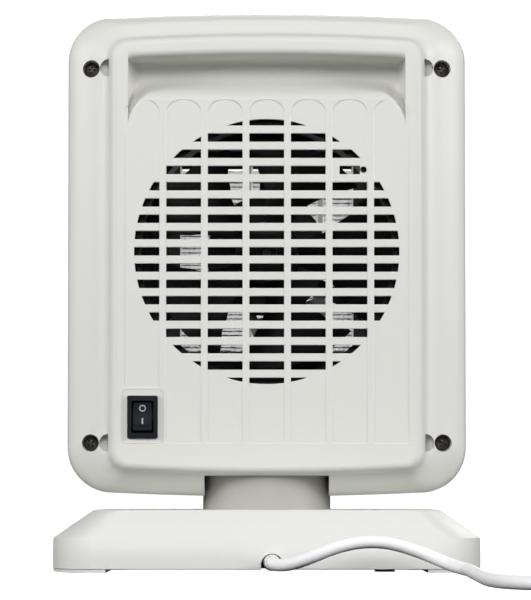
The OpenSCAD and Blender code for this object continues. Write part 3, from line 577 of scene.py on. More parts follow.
COVER_OUTER = [
    (14.25, 0.5, 0.5, 0.5, 22), (14.6, 0.1, 0.1, 0.1, 22.4), (17.5, 0.2, 0.2, 0.1, 22.4),
    (20, 0.8, 0.8, 0.5, 22), (22, 2, 1.8, 1, 21.5), (24.3, 5, 3.4, 2.2, 20.2),
    (26.5, 9, 5.2, 3.4, 18.8), (28.2, 12.3, 6.7, 4.5, 17.3), (28.8, 13.8, 7.3, 5.3, 16.7),
    (30.6, 17.8, 8.8, 9, 12.5), (31.8, 19.6, 9.8, 11, 10.6), (33, 20.6, 10.4, 12, 9.6),
    (34.5, 21.3, 10.8, 12.6, 9.1), (36.2, 21.8, 11.2, 13, 8.8), (37.6, 22.3, 11.6, 13.4, 8.5),
    (38.8, 23.1, 12.3, 14.1, 8), (39.6, 24.3, 13.3, 15.2, 7.2), (40, 26.2, 14.8, 16.8, 6),
]
COVER_INNER = [
    (37.6, 25.6, 14.6, 16.6, 5.8), (31, 23.6, 12.8, 14.8, 7), (28.5, 21, 11.4, 11.6, 11),
    (25.5, 13, 6.9, 6.1, 17), (20, 3.6, 3.6, 3.2, 19.5), (14.25, 2.4, 2.4, 2.4, 20.2),
]
RECESS_HX = 68.4
RECESS_TOP = 257.4
RECESS_DEEP = 24
RECESS_BOWL = 4
LIP_R = 3
SHOULDER_Z = 232
SHOULDER_DROP = 15
SHOULDER_RUN = 12
WALL_DROP = 11.6


def recess_profile(x, depth, grow, y_close):
    """Section of the handle recess at x, as points of (y, z). depth scales it down towards its ends."""
    crown = -1.7 * (x / RECESS_HX) ** 2
    edge = max(0, (abs(x) - (RECESS_HX - SHOULDER_RUN)) / SHOULDER_RUN)
    drop = SHOULDER_DROP * (1 - math.sqrt(max(0, 1 - min(1, edge) ** 2)))
    back = BACK_Y - RECESS_DEEP - grow
    top = RECESS_TOP + crown + grow
    low = SHOULDER_Z - drop - grow
    points = arc(BACK_Y - LIP_R, top, LIP_R, -LIP_R, 0, 90, 6)
    points += arc(back + LIP_R, top - 2 * LIP_R, LIP_R, LIP_R, 90, 180, 4)
    foot = RECESS_TOP + crown - WALL_DROP - drop * 0.3 - grow
    p = [(back, foot), (back, low + 7.5), (BACK_Y - 7, low + 8.5), (BACK_Y, low)]
    for i in range(17):
        t = i / 16
        w = [(1 - t) ** 3, 3 * t * (1 - t) ** 2, 3 * t * t * (1 - t), t ** 3]
        points.append([sum(share * q[axis] for share, q in zip(w, p)) for axis in (0, 1)])
    points = [(BACK_Y - (BACK_Y - y) * depth, z) for y, z in points]
    return [(y_close, points[0][1])] + points + [(y_close, points[-1][1] - (y_close - BACK_Y) * 3)]


def recess_shape(grow, y_close):
    """The closed solid that the handle recess takes out of the cover."""
    hx = RECESS_HX + grow
    inner = hx - RECESS_BOWL
    angles = [math.radians(15 * i) for i in range(7)]
    ends = [(RECESS_BOWL * (1 - math.cos(a)), max(0.03, math.sin(a))) for a in angles]
    stations = [(-hx + e, s) for e, s in ends]
    stations += [(-inner + 2 * inner * i / 60, 1) for i in range(1, 60)]
    stations += [(hx - e, s) for e, s in reversed(ends)]
    return loft([[(x, y, z) for y, z in recess_profile(x, s, grow, y_close)] for x, s in stations])


FLUTE_W = 17.1
FLUTE_PITCH = 20.44
FLUTE_LO = 63
SHORT_FLUTE_LO = 90.5
FLUTE_HI = 232.3
FLUTE_DEEP = 0.4
ROW_PITCH = 8.02
SLOT_H = 4.1
SLOT_EDGE = 0.22
SMALLEST_SLOT = 2
GRILLE_R = 65.2


def flute_outline(x0, lo, grow):
    """One shallow upright flute: an arched top and a nearly square foot."""
    hx = FLUTE_W / 2 + grow
    rz = 6.5
    return (
        arc(x0, FLUTE_HI - rz, hx, rz + grow, 0, 180, 20)
        + arc(x0 - hx + 1.5, lo + 1.5 - grow, 1.5, 1.5, 180, 270, 4)
        + arc(x0 + hx - 1.5, lo + 1.5 - grow, 1.5, 1.5, 270, 360, 4)
    )


def flutes():
    """The seven flutes; the one above the switch is short."""
    stations = ((-FLUTE_DEEP, -0.35), (0, 0.3), (2, 0.3))
    return merge([loft([at_y(flute_outline(i * FLUTE_PITCH, SHORT_FLUTE_LO if i == 3 else FLUTE_LO, grow),
                             BACK_Y + d) for d, grow in stations]) for i in range(-3, 4)])


def clipped(points, radius, z0, sides=120):
    """A convex outline cut to the circle of that radius round (0, z0)."""
    for k in range(sides):
        a = 2 * math.pi * (k + 0.5) / sides
        nx, nz = math.cos(a), math.sin(a)
        out = []
        for i, p in enumerate(points):
            q = points[(i + 1) % len(points)]
            dp, dq = [x * nx + (z - z0) * nz - radius for x, z in (p, q)]
            if dp <= 0:
                out.append(p)
            if (dp < 0 < dq) or (dq < 0 < dp):
                t = dp / (dp - dq)
                out.append((p[0] + (q[0] - p[0]) * t, p[1] + (q[1] - p[1]) * t))
        points = out
        if len(points) < 3:
            return []
    return points


def grown(points, by):
    """An outline scaled about its middle so that each side moves out by about that much."""
    xs, zs = zip(*points)
    cx, cz = (min(xs) + max(xs)) / 2, (min(zs) + max(zs)) / 2
    fx = 1 + 2 * by / (max(xs) - min(xs))
    fz = 1 + 2 * by / (max(zs) - min(zs))
    return [(cx + (x - cx) * fx, cz + (z - cz) * fz) for x, z in points]


def inlet_slots():
    """All the slots of the round inlet, each with a tiny lead-in at its outer edge."""
    parts = []
    floor = BACK_Y - FLUTE_DEEP
    for i in range(-3, 4):
        for j in range(-8, 9):
            short = 3.5 if (i, j) == (-2, 5) else 0
            x0, z0 = i * FLUTE_PITCH, FAN_Z + j * ROW_PITCH
            hx, hz = FLUTE_W / 2 - short, SLOT_H / 2
            cut = clipped(rect(x0 - hx, x0 + hx, z0 - hz, z0 + hz), GRILLE_R, FAN_Z)
            if len(cut) < 3:
                continue
            area = 0.5 * abs(sum(p[0] * q[1] - q[0] * p[1] for p, q in zip(cut, cut[1:] + cut[:1])))
            if area < SMALLEST_SLOT:
                continue
            wide = grown(cut, SLOT_EDGE)
            parts.append(loft([at_y(cut, BACK_Y - 6), at_y(cut, floor - SLOT_EDGE), at_y(wide, floor),
                               at_y(wide, BACK_Y + 2)]))
    return merge(parts)


SCREW_LO, SCREW_HI = span("cover_screws")
SCREW_R = 3.8
SCREW_X = SCREW_HI.x - SCREW_R
SCREW_PLACES = [(s, z) for s in (-1, 1) for z in (SCREW_LO.z + SCREW_R, SCREW_HI.z - SCREW_R)]
WELL_R = 4.3
WELL_FLOOR = 20
POCKET_R = 4.4
POCKET_FLOOR = 25.5
BOSS_Y = 28.5
NOTCH_TOP = 47.2
NECK_R = 31.8
NOTCH_HX = 32.1
NECK_HOLE_R = 32.6
SENSOR_X = -47.6
SENSOR_Z = 197.5
SENSOR_R = 1.6
SWITCH_LO, SWITCH_HI = span("power_switch")
SWITCH_X = (SWITCH_LO.x + SWITCH_HI.x) / 2
SWITCH_Z = (SWITCH_LO.z + SWITCH_HI.z) / 2
PANEL_HX = 78


def cover_depth(x):
    """Depth of the cover's outer surface at the level of the screws."""
    for (y0, dx0, *_), (y1, dx1, *_) in zip(COVER_OUTER[1:], COVER_OUTER[2:]):
        if HEAD_HX - dx1 <= abs(x) <= HEAD_HX - dx0:
            return y0 + (y1 - y0) * (HEAD_HX - dx0 - abs(x)) / max(dx1 - dx0, 0.001)
    return BACK_Y


def boss(x0, z0, r):
    """A round boss under the cover's slope, cut off just below its outer surface."""
    ring = circle(r, x0, z0)
    return loft([at_y(ring, SPLIT_Y + 0.4), [(x, min(cover_depth(x), BOSS_Y) - 0.9, z) for x, z in ring]])


def rear_cover():
    """The back moulding: rolled sides, raised fluted panel, handle recess and round slotted inlet."""
    cover = new_object("rear_moulding", *hollow(head_rings(COVER_OUTER), head_rings(COVER_INNER)))
    carve(cover, recess_shape(1.9, BACK_Y - 1.2), "UNION")
    bosses, backings, wells, pockets = [], [], [], []
    flat = PANEL_HX + 0.02
    for s, z in SCREW_PLACES:
        bosses.append(boss(s * SCREW_X, z, WELL_R + 1.5))
        backings.append(boss(s * (PANEL_HX + 0.4), z, POCKET_R + 1))
        wells.append(prism_y(circle(WELL_R, s * SCREW_X, z), WELL_FLOOR, BACK_Y))
        half = [p for p in circle(POCKET_R, s * (PANEL_HX + 0.2), z, 64) if s * p[0] > flat]
        half.sort(key=lambda p: p[1])
        outline = [(s * flat, z - POCKET_R)] + half + [(s * flat, z + POCKET_R)]
        pockets.append(prism_y(outline, POCKET_FLOOR, BACK_Y + 1))
    carve(cover, merge(bosses), "UNION")
    carve(cover, merge(backings), "UNION")
    under = [(14.5, 38.4), (20, 38.8), (22, 39.8), (28.3, 44.8), (31.9, 47.8), (36, 48.3), (36, 49.6),
             (14.5, 49.6)]
    carve(cover, loft([[(x, y, z) for y, z in under] for x in (-NOTCH_HX - WALL, NOTCH_HX + WALL)]), "UNION")
    groove = loft([at_y(soft_rect(g, g + 3.1, 1.8), BACK_Y + d, SWITCH_X, SWITCH_Z)
                   for g, d in ((10.6, 1), (10.2, -0.3), (9.9, -0.3), (9.5, 1))], loop=True)
    sensor = prism_y(circle(SENSOR_R, SENSOR_X, SENSOR_Z, 32), BACK_Y - 8, BACK_Y + 2)
    window = loft([at_y(soft_rect(6.5, 9.6, 0.6), BACK_Y + d, SWITCH_X, SWITCH_Z) for d in (-8, 2)])
    for shape in (recess_shape(0, BACK_Y + 2), flutes(), inlet_slots(), groove, merge(wells), merge(pockets),
                  sensor, window, rod_z(NECK_HOLE_R, 30, 52)):
        carve(cover, shape)
    near = NOTCH_HX - 1.3
    notch = [(-NOTCH_HX, 0), (NOTCH_HX, 0), (NOTCH_HX, 5), (near, 12), (near, BACK_Y + 1),
             (-near, BACK_Y + 1), (-near, 12), (-NOTCH_HX, 5)]
    carve(cover, loft([[(x, y, z) for x, y in notch] for z in (30, NOTCH_TOP)]))
    dress(cover, "head", "shell_plastic", ["rear_cover"], angle=30)


rear_cover()
DECK = (53, 56)
BOSS_END = -16


def front_housing():
    """The main shell: straight sides with a soft shadow line where it meets the other mouldings."""
    outer = [(-57.7, 0.6, 21.9), (-57.3, 0.1, 22.4), (-56.5, 0, 22.5), (-30, 0, 22.5), (12.8, 0, 22.5),
             (13.6, 0.1, 22.4), (14, 0.6, 21.9)]
    inner = [(y, WALL, 20.1) for y in (14, -30, -57.7)]
    shell = new_object("head_shell", *loft(even_rings(outer + inner), loop=True))
    deck = loft([at_z(soft_rect(HEAD_HX - 1.2, 34.8, 1), z, 0, -22.4) for z in DECK])
    carve(shell, deck, "UNION")
    bosses, ribs = [], []
    for s, z in SCREW_PLACES:
        bosses.append(prism_y(circle(4, s * SCREW_X, z, 32), BOSS_END, SPLIT_Y - 0.1))
        x0, x1 = sorted((s * (SCREW_X + 3), s * (HEAD_HX - 1)))
        ribs.append(prism_y(rect(x0, x1, z - 1, z + 1), BOSS_END, SPLIT_Y - 0.2))
    carve(shell, merge(bosses), "UNION")
    carve(shell, merge(ribs), "UNION")
    carve(shell, rod_z(NECK_HOLE_R, 30, 45))
    carve(shell, prism_y(rect(-NOTCH_HX, NOTCH_HX, 30, 45), 0, SPLIT_Y + 1))
    carve(shell, rod_z(9, 50, 60, steps=48))
    dress(shell, "head", "shell_plastic", ["front_housing"])


front_housing()

OUTLET_LO, OUTLET_HI = span("outlet_grille")
OUTLET_HX = OUTLET_HI.x
OUTLET_HZ = (OUTLET_HI.z - OUTLET_LO.z) / 2
OUTLET_Z = (OUTLET_LO.z + OUTLET_HI.z) / 2
LOUVRE_PITCH = 7.6
LOUVRE_TILT = math.radians(28)
PANEL_BACK = -58
KNOB_LO, KNOB_HI = span("mode_knob")
KNOB_X = (KNOB_LO.x + KNOB_HI.x) / 2
KNOB_Z = (KNOB_LO.z + KNOB_HI.z) / 2
BUTTON_LO, BUTTON_HI = span("swing_button")
BUTTON_Z = (BUTTON_LO.z + BUTTON_HI.z) / 2
LAMP_LO, LAMP_HI = span("indicator_lens")
LAMP_Z = (LAMP_LO.z + LAMP_HI.z) / 2


def front_panel():
    """The front moulding, with its outlet opening and the holes for the controls."""
    outer = [(-58, 0.6, 21.9), (-58.4, 0.1, 22.4), (-59.2, 0, 22.5), (-61.5, 0.2, 22.3), (-63.6, 1.2, 21.5),
             (-65.1, 2.8, 20.2), (-65.8, 4.6, 18.7), (-66, 6.6, 17)]
    inner = [(-62.6, 6.2, 17.2), (-60.5, 3.4, 19.5), (-58, 2.6, 20.1)]
    panel = new_object("front_moulding", *hollow(even_rings(outer), even_rings(inner)))
    mouth = []
    for depth, g in ((-2, 3.4), (0, 3.2), (0.5, 2.4), (1.6, 0.1), (6, 0.1)):
        mouth.append(at_y(soft_rect(OUTLET_HX + g, OUTLET_HZ + g, 4 + g), FRONT_Y + depth, 0, OUTLET_Z))
    carve(panel, loft(mouth))
    carve(panel, loft([at_y(soft_rect(80 + g, 24.5 + g, 9), FRONT_Y + depth, 0, 241)
                       for depth, g in ((-1, 0.8), (0.5, -0.4))]))
    holes = ((4, -KNOB_X, KNOB_Z), (4, KNOB_X, KNOB_Z), (6.4, 0, BUTTON_Z), (3, 0, LAMP_Z))
    carve(panel, merge([prism_y(circle(*hole), FRONT_Y - 1, PANEL_BACK) for hole in holes]))
    dress(panel, "head", "shell_plastic", ["front_panel"], angle=30)


front_panel()


def louvre(z0):
    """One outlet louvre: a thin tilted slat as wide as the opening."""
    section = turned(arc(0, 0, 4.4, 0.75, 0, 360, 20)[:-1], LOUVRE_TILT, -62.4, z0)
    return loft([[(x, y, z) for y, z in section] for x in (OUTLET_LO.x + 1.2, OUTLET_HI.x - 1.2)])


def outlet():
    """The outlet grille: rounded frame, tilted louvres and three upright ties."""
    rings = []
    for y, g, r in ((-58.1, 0, 4), (-65.2, 0, 4), (-65.9, 0.5, 3.7), (-65.9, 1.6, 3), (-65.2, 2.2, 2.6),
                    (-58.1, 2.2, 2.6)):
        rings.append(at_y(soft_rect(OUTLET_HX - g, OUTLET_HZ - g, r), y, 0, OUTLET_Z))
    grille = new_object("outlet_louvres", *loft(rings, loop=True))
    for i in range(int((2 * OUTLET_HZ - 12) // LOUVRE_PITCH) + 1):
        carve(grille, louvre(OUTLET_LO.z + 6.2 + LOUVRE_PITCH * i), "UNION")
    z0, z1 = OUTLET_LO.z + 1, OUTLET_HI.z - 1
    ties = [prism_y(rect(x - 0.8, x + 0.8, z0, z1), -61.2, -58.6) for x in (-26, 0, 26)]
    carve(grille, merge(ties), "UNION")
    dress(grille, "head", "grey_plastic", ["outlet_grille"], angle=30)


outlet()


def knob(name, x0, body):
    """A control knob: skirt, fluted grip, dished cap, and a raised pointer in its own colour."""
    front, back = KNOB_LO.y, KNOB_HI.y

    def grip(r, y, a):
        return r - (0.45 * (0.5 + 0.5 * math.cos(24 * a)) if front + 2 < y < -70.4 and r > 10 else 0)

    profile = [(3.1, back - 5), (3.1, back), (16.2, back), (16.9, back - 0.6), (17, back - 1.4),
               (17, -69.4), (16.6, -70), (15.4, -70.3), (15.2, -70.8), (14.9, -74), (14.4, front + 3.4),
               (14, front + 2.2), (13, front + 1.2), (11.6, front + 0.7), (9.5, front + 0.9),
               (5, front + 1.2), (0.3, front + 1.3)]
    cap = lathe_y(profile, x0, KNOB_Z, 144, grip)
    piece(name + "_cap", cap, body, "grey_plastic", [name + "_knob"], angle=40)
    pointer = round_block(0.7, 4.2, front, front + 1.6, 0.5, 0.3, x0, KNOB_Z + 8.6)
    piece(name + "_cap_pointer", pointer, body, "white_nylon", look=MARK)


knob("mode", KNOB_X, "mode_control")
knob("thermostat", -KNOB_X, "thermostat_control")
DIAL_R = 18.6


def dial_marks():
    """Ticks round both dials: settings for the mode, a rising wedge for the thermostat."""
    parts = []
    mode = [(KNOB_X, 90 - 45 * i, 2.2) for i in range(5)]
    thermostat = [(-KNOB_X, 225 - 27 * i, 1 + 0.14 * i) for i in range(11)]
    for x0, degrees, long in mode + thermostat:
        tick = rect(DIAL_R, DIAL_R + long, -0.3, 0.3)
        parts.append(prism_y(turned(tick, math.radians(degrees), x0, KNOB_Z), FRONT_Y + 0.42, FRONT_Y + 0.8))
    piece("dial_marks", merge(parts), "head", "grey_plastic", angle=20)


dial_marks()


def push_button():
    """The swing button: round, with a dished face and a soft edge."""
    front = BUTTON_LO.y
    profile = [(3, BUTTON_HI.y), (3, -62.1), (5.9, -62.1), (5.9, front + 1), (5.6, front + 0.35),
               (5, front), (4.3, front + 0.1), (2.5, front + 0.45), (0.2, front + 0.55)]
    piece("button_cap", lathe_y(profile, 0, BUTTON_Z), "swing_push", "grey_plastic", ["swing_button"])


push_button()


def lamp():
    """The indicator's domed lens and flange."""
    front = LAMP_LO.y
    profile = [(2, LAMP_HI.y), (2.9, -58.2), (2.9, -61), (4.15, -61), (4.15, -62), (2.9, -62),
               (2.9, front + 0.9), (2.5, front + 0.4), (1.6, front + 0.1), (0.2, front)]
    piece("lamp_lens", lathe_y(profile, 0, LAMP_Z), "head", "signal_plastic", ["indicator_lens"])


lamp()


def cover_screws():
    """The cover's cross-head screws: a domed head with a tapered cross, and a plain shank."""
    rng = random.Random(SEED)
    parts, crosses = [], []
    profile = [(0.3, -21.5), (1.5, -20), (1.5, 0), (3.7, 0), (3.8, 0.5), (3.5, 1.3), (2.7, 1.95), (1.5, 2.3),
               (0.3, 2.4)]
    cross = ((0.7, 0.9, 0.3), (2.1, 2.1, 0.45), (3, 2.3, 0.5))
    for s, z in SCREW_PLACES:
        x, turn = s * SCREW_X, rng.uniform(0, 1.5)
        parts.append(lathe_y([(r, WELL_FLOOR + y) for r, y in profile], x, z, 40))
        for a in (turn, turn + math.pi / 2):
            crosses.append(loft([at_y(turned(rect(-long, long, -wide, wide), a, x, z), WELL_FLOOR + y)
                                 for y, long, wide in cross]))
    screws = new_object("cover_screw_set", *merge(parts))
    for slot in crosses:
        carve(screws, slot)
    dress(screws, "head", "screw_steel", ["cover_screws"])


cover_screws()

# --- power switch ---


def switch_frame():
    """The switch's snap-in frame, its bezel standing on the cover, and its body."""
    hx, hz = SWITCH_HI.x - SWITCH_X, SWITCH_HI.z - SWITCH_Z
    y1 = SWITCH_HI.y
    outer = [(hx, hz, 0.9, BACK_Y + 0.02), (hx, hz, 0.9, y1 - 0.5), (hx - 0.15, hz - 0.15, 0.8, y1 - 0.15),
             (hx - 0.5, hz - 0.5, 0.6, y1)]
    mouth = [(5.5, 7.95, 0.8, y1), (5.35, 7.8, 0.7, y1 - 0.25), (5.25, 7.7, 0.6, y1 - 1),
             (5.25, 7.7, 0.6, 27)]
    body = [(6.4, 9.4, 0.5, 18), (6.4, 9.4, 0.5, BACK_Y + 0.02)]
    rings = [at_y(soft_rect(a, b, r), y, SWITCH_X, SWITCH_Z) for a, b, r, y in body + outer + mouth]
    piece("switch_frame", loft(rings), "head", "switch_plastic", ["power_switch"], angle=30)


switch_frame()
ROCKER_Y = 37.8
ROCKER_TILT = math.radians(10)
ROCKER_HX = 4.75
ROCKER_HZ = 7.4
LIP_Z = 4.6
MARK_O_Z = 3.9
MARK_I_Z = -2.5


def rocker_place(x, y, z):
    """A point given in the rocker's own axes, tilted as it stands when switched off."""
    c, s = math.cos(ROCKER_TILT), math.sin(ROCKER_TILT)
    return SWITCH_X + x, ROCKER_Y + y * c - z * s, SWITCH_Z + y * s + z * c


def rocker_surface(z):
    """Height of the rocker's face above its axis: two shallow dished halves."""
    t = z / ROCKER_HZ
    return 2.25 + 0.95 * abs(t) ** 1.5 + 0.5 * smooth((-z - LIP_Z) / 1.2)


def rocker():
    """The rocker: a waisted, two-way dished cap with soft edges."""
    rows = []
    steps = 28
    for i in range(steps + 1):
        z = -ROCKER_HZ + 2 * ROCKER_HZ * i / steps
        near_end = smooth((ROCKER_HZ - abs(z)) / 0.7)
        face = rocker_surface(z) - 0.5 * (1 - near_end)
        hx = ROCKER_HX + 0.3 - 0.55 * (z / ROCKER_HZ) ** 2
        section = [(-hx, -2.2), (-hx, face - 0.9), (-hx + 0.15, face - 0.3), (-hx + 0.6, face),
                   (-hx * 0.5, face - 0.05), (0, face - 0.08), (hx * 0.5, face - 0.05),
                   (hx - 0.6, face), (hx - 0.15, face - 0.3), (hx, face - 0.9), (hx, -2.2)]
        rows.append([rocker_place(x, y, z) for x, y in section])
    piece("rocker_cap", loft(rows), "rocker", "switch_plastic", ["power_rocker"], angle=42)


def rocker_marks():
    """The ring and the bar printed on the rocker's two halves."""
    ring = []
    for r, lift in ((1.62, -0.26), (1.62, -0.01), (1.12, -0.01), (1.12, -0.26)):
        ring.append([rocker_place(x, rocker_surface(z) + lift, z) for x, z in circle(r, 0, MARK_O_Z, 36)])
    bar = []
    for z in [MARK_I_Z - 1.45 + 2.9 * i / 6 for i in range(7)]:
        bar.append([rocker_place(x, rocker_surface(z) + lift, z) for x, lift in rect(-0.36, 0.36, -0.25, 0)])
    marks = merge([loft(ring, loop=True), loft(bar)])
    piece("rocker_marks", marks, "rocker", "white_nylon", look=MARK, angle=40)


rocker()
rocker_marks()

# --- fan ---

BLADES = 5
HUB_R = 16
DISC_R = 29.6
TIP_R = FAN_HI.x
BLADE_Y = (11, 29)
BLADE_THICK = 1.3


def blade_gap(r):
    """Half the angle between neighbouring blades, in degrees, seen along the axis."""
    knots = [(HUB_R, 17), (30, 15.8), (42, 10.4), (54, 4.6), (60, 3)]
    for (r0, g0), (r1, g1) in zip(knots[:-1], knots[1:]):
        if r <= r1:
            return g0 + (g1 - g0) * smooth((r - r0) / (r1 - r0))
    return knots[-1][1]


def impeller():
    """The five-bladed fan: pitched, cambered blades on a domed hub with a backing disc."""
    parts = []
    for b in range(BLADES):
        centre = math.radians(180 + 360 * b / BLADES)
        rings = []
        for i in range(15):
            r = HUB_R - 1.5 + (TIP_R - HUB_R + 1.5) * i / 14
            half = math.radians(36 - blade_gap(max(r, HUB_R)))
            upper, lower = [], []
            for k in range(17):
                t = 2 * k / 16 - 1
                a = centre + half * t + math.radians(3) * (r / TIP_R) ** 2
                pitch = BLADE_Y[0] + (BLADE_Y[1] - BLADE_Y[0]) * (0.5 - 0.5 * t)
                camber = 2.2 * (1 - t * t) * (r / TIP_R)
                half_thick = 0.5 * BLADE_THICK * (1 - 0.75 * t ** 6)
                x, z = r * math.cos(a), FAN_Z + r * math.sin(a)
                upper.append((x, pitch + camber + half_thick, z))
                lower.append((x, pitch + camber - half_thick, z))
            rings.append(upper + lower[::-1])
        parts.append(loft(rings))
    fan = new_object("fan_rotor", *merge(parts))
    hub = [(2.05, 9), (5, 9), (5, 10), (DISC_R, 10), (DISC_R + 0.3, 10.6), (DISC_R, 11.4),
           (HUB_R + 1, 11.6), (HUB_R, 12.6), (HUB_R - 0.3, 25), (HUB_R - 1.2, 27.2), (HUB_R - 3.5, 28.2),
           (6.4, 28.6), (5.2, 28.9), (4.9, 30.2), (2.6, 30.4), (2.05, 30.2)]
    carve(fan, lathe_y(hub, 0, FAN_Z, 64, loop=True), "UNION")
    dress(fan, "fan", "black_plastic", ["fan_impeller"], angle=40)


impeller()

# --- heating core ---

FINS_LO, FINS_HI = span("ptc_fins")
BANK_W = 15.5
BANK_PITCH = 18.1
FOLD = 2.1
CREST = 1.45
BANKS = 5
PLATE = 0.6
STRIP = 0.22
STRIP_POINTS = 13


def sheet(rows, thick):
    """A strip of even thickness from rows of points, thickened upwards and closed all round."""
    n, count = len(rows[0]), len(rows)
    front = [p for row in rows for p in row]
    verts = front + [(x, y, z + thick) for x, y, z in front]
    faces = []
    for i in range(count - 1):
        for k in range(n - 1):
            q = (i * n + k, i * n + k + 1, (i + 1) * n + k + 1, (i + 1) * n + k)
            faces += [q, tuple(reversed([v + len(front) for v in q]))]
    edge = (list(range(n)) + [i * n + n - 1 for i in range(1, count)]
            + [(count - 1) * n + k for k in range(n - 2, -1, -1)] + [i * n for i in range(count - 2, 0, -1)])
    faces += [(b, a, a + len(front), b + len(front)) for a, b in zip(edge, edge[1:] + edge[:1])]
    return verts, faces


def fin_banks():
    """Banks of crimped aluminium strip, folded to and fro between two side plates."""
    rand = random.Random(SEED)
    parts = []
    y0, y1 = FINS_LO.y + 1, FINS_HI.y - 0.3
    folds = int((FINS_HI.z - FINS_LO.z - 3) // FOLD)
    for b in range(BANKS):
        x0 = FINS_LO.x + b * BANK_PITCH
        for x in (x0, x0 + BANK_W - PLATE):
            parts.append(prism_y(rect(x, x + PLATE, FINS_LO.z, FINS_HI.z), FINS_LO.y, FINS_HI.y))
        rows = []
        for i in range(folds + 1):
            z = FINS_LO.z + 0.6 + FOLD * i
            for y, up in ((y0, 0), (y1, 0.1), (y1, CREST / 2), (y1, CREST), (y0, CREST + 0.1)):
                row = []
                for k in range(STRIP_POINTS):
                    x = x0 + 0.7 + (BANK_W - 1.4) * k / (STRIP_POINTS - 1)
                    crimp = 0.22 * math.cos(math.pi * k) + (0.2 if up == CREST / 2 else 0)
                    shift = rand.uniform(-0.22, 0.22)
                    row.append((x, y - 0.3 + crimp + shift, z + up + rand.uniform(-0.12, 0.12)))
                rows.append(row)
        parts.append(sheet(rows, STRIP))
    piece("crimped_fins", merge(parts), "head", "fin_aluminium", ["ptc_fins"], angle=20, weighted=False)


fin_banks()

# --- base ---

BASE_HX = BASE_HI.x
BASE_HY = BASE_HI.y
BASE_TOP = BASE_HI.z
WALL_TOP = 17
LEAD_HOLE = (-2.5, 4.4, 5.25)
FOOT_X = 72
FOOT_Y = 45


def base_outline(hx, hy, rx, ry):
    """Plan of the base with long elliptical corners."""
    x, y = hx - rx, hy - ry
    inner = [50, 25, 0, -25, -50]
    return (
        arc(x, y, rx, ry, 0, 90, 24) + [(v, hy) for v in inner] + arc(-x, y, rx, ry, 90, 180, 24)
        + [(-hx, y * t) for t in (0.6, 0.2, -0.2, -0.6)]
        + arc(-x, -y, rx, ry, 180, 270, 24) + [(-v, -hy) for v in inner] + arc(x, -y, rx, ry, 270, 360, 24)
        + [(hx, y * t) for t in (-0.6, -0.2, 0.2, 0.6)]
    )


def base_ring(z, inset, top_inset=0):
    """The base's outline at height z. The sides bend into their slope, the back and front roll over."""
    up = max(0, (z - WALL_TOP) / (BASE_TOP - WALL_TOP))
    roll = smooth((z - 8) / (BASE_TOP - 8) * 0.94) / smooth(0.94)
    hx = BASE_HX - 20 * up - inset - top_inset
    hy = BASE_HY - 8 * roll - inset - top_inset
    return base_outline(hx, hy, 21 - 5 * up - inset, 44 - 5 * up - inset)


def base_shell():
    """The base's upper moulding, open underneath, with four round bosses over the feet and the arch for the
    lead.
    """
    rim = BASE_LO.z
    stations = [(rim, 0.35, 0)] + [(z, 0, 0) for z in (rim + 0.35, 6, 10, 13, 16.4)]
    stations += [(16.9, 0.03, 0), (17.4, 0.1, 0)] + [(z, 0, 0) for z in (20, 23, 26, 29.4)]
    stations += [(30.1, 0, 0.1), (30.4, 0, 0.5), (BASE_TOP, 0, 1.3)]
    outer = [at_z(base_ring(z, inset, top_inset), z) for z, inset, top_inset in stations]
    inner = [at_z(base_ring(z, WALL), z) for z in (BASE_TOP - 2.5, 22, 16.4, rim)]
    shell = new_object("base_moulding", *hollow(outer, inner))
    carve(shell, rod_z(NECK_R + 0.1, BASE_TOP - 4, BASE_TOP + 4))
    x0, z0, r = LEAD_HOLE
    arch = arc(x0, z0, r, r, 0, 180, 24) + [(x0 - r, -3), (x0 + r, -3)]
    carve(shell, prism_y(arch, BASE_HY - 8, BASE_HY + 4))
    bosses = [rod_z(4, 3.8, 28.2, x, y, 24) for x in (-FOOT_X, FOOT_X) for y in (-FOOT_Y, FOOT_Y)]
    carve(shell, merge(bosses), "UNION")
    dress(shell, "base", "base_plastic", ["base_shell"], angle=28)


base_shell()


def neck():
    """The round neck with its inner sleeve, flange and softened edges. It is shell plastic coloured darker:
    painted shade for the shadow under the head.
    """
    r = NECK_R
    z0, z1 = NECK_LO.z, NECK_HI.z
    profile = [(12.05, z0), (15, z0), (15, z1 - WALL), (r - WALL, z1 - WALL), (r - WALL, z0), (40, z0),
               (40, 28), (r, 28), (r, z1 - 0.8), (r - 0.25, z1 - 0.25), (r - 0.8, z1), (12.05, z1)]
    column = loft([at_z(circle(radius, 0, 0, 96), z) for radius, z in profile], loop=True)
    piece("neck_moulding", column, "base", "shell_plastic", ["neck_column"], NECK_PAINTED_SHADE, angle=30)


neck()

# --- carried-over CAD nodes ---

for info in frame["record"]["subparts"]:
    node = frame["nodes"].get(info["node"])
    if node is None or node.hide_render:
        continue
    shaft = node.name.startswith("motor_shaft")
    node.data.materials.clear()
    node.data.materials.append(DULL if shaft else SLOT_OF[info["material_slot"]])
    node.data.shade_smooth()
    node.data.set_sharp_from_angle(angle=math.radians(30))

# --- stage ---

WHITE_GLOW = 1.3


def floor():
    """A plain white floor, nearly free of shadow, that doesn't light the object from below."""
    obj = new_object("floor", at_z(rect(-9000, 9000, -9000, 9000), -0.3), [(0, 1, 2, 3)])
    mat = bpy.data.materials.new("floor")
    mat.use_nodes = True
    fill(mat.node_tree.nodes["Principled BSDF"], {
        "Base Color": (0.9, 0.9, 0.9, 1), "Roughness": 1, "Specular IOR Level": 0,
        "Emission Color": (1, 1, 1, 1), "Emission Strength": WHITE_GLOW,
    })
    obj.data.materials.append(mat)
    obj.visible_diffuse = False
    obj.visible_glossy = False


floor()


def area_light(name, place, target, size, watts):
    """A soft light facing a target point. Lengths in metres."""
    data = bpy.data.lights.new(name, "AREA")
    data.shape = "RECTANGLE"
    data.size, data.size_y = size
    data.energy = watts
    obj = in_scene(name, data)
    obj.location = place
    obj.rotation_euler = (Vector(target) - Vector(place)).to_track_quat("-Z", "Y").to_euler()


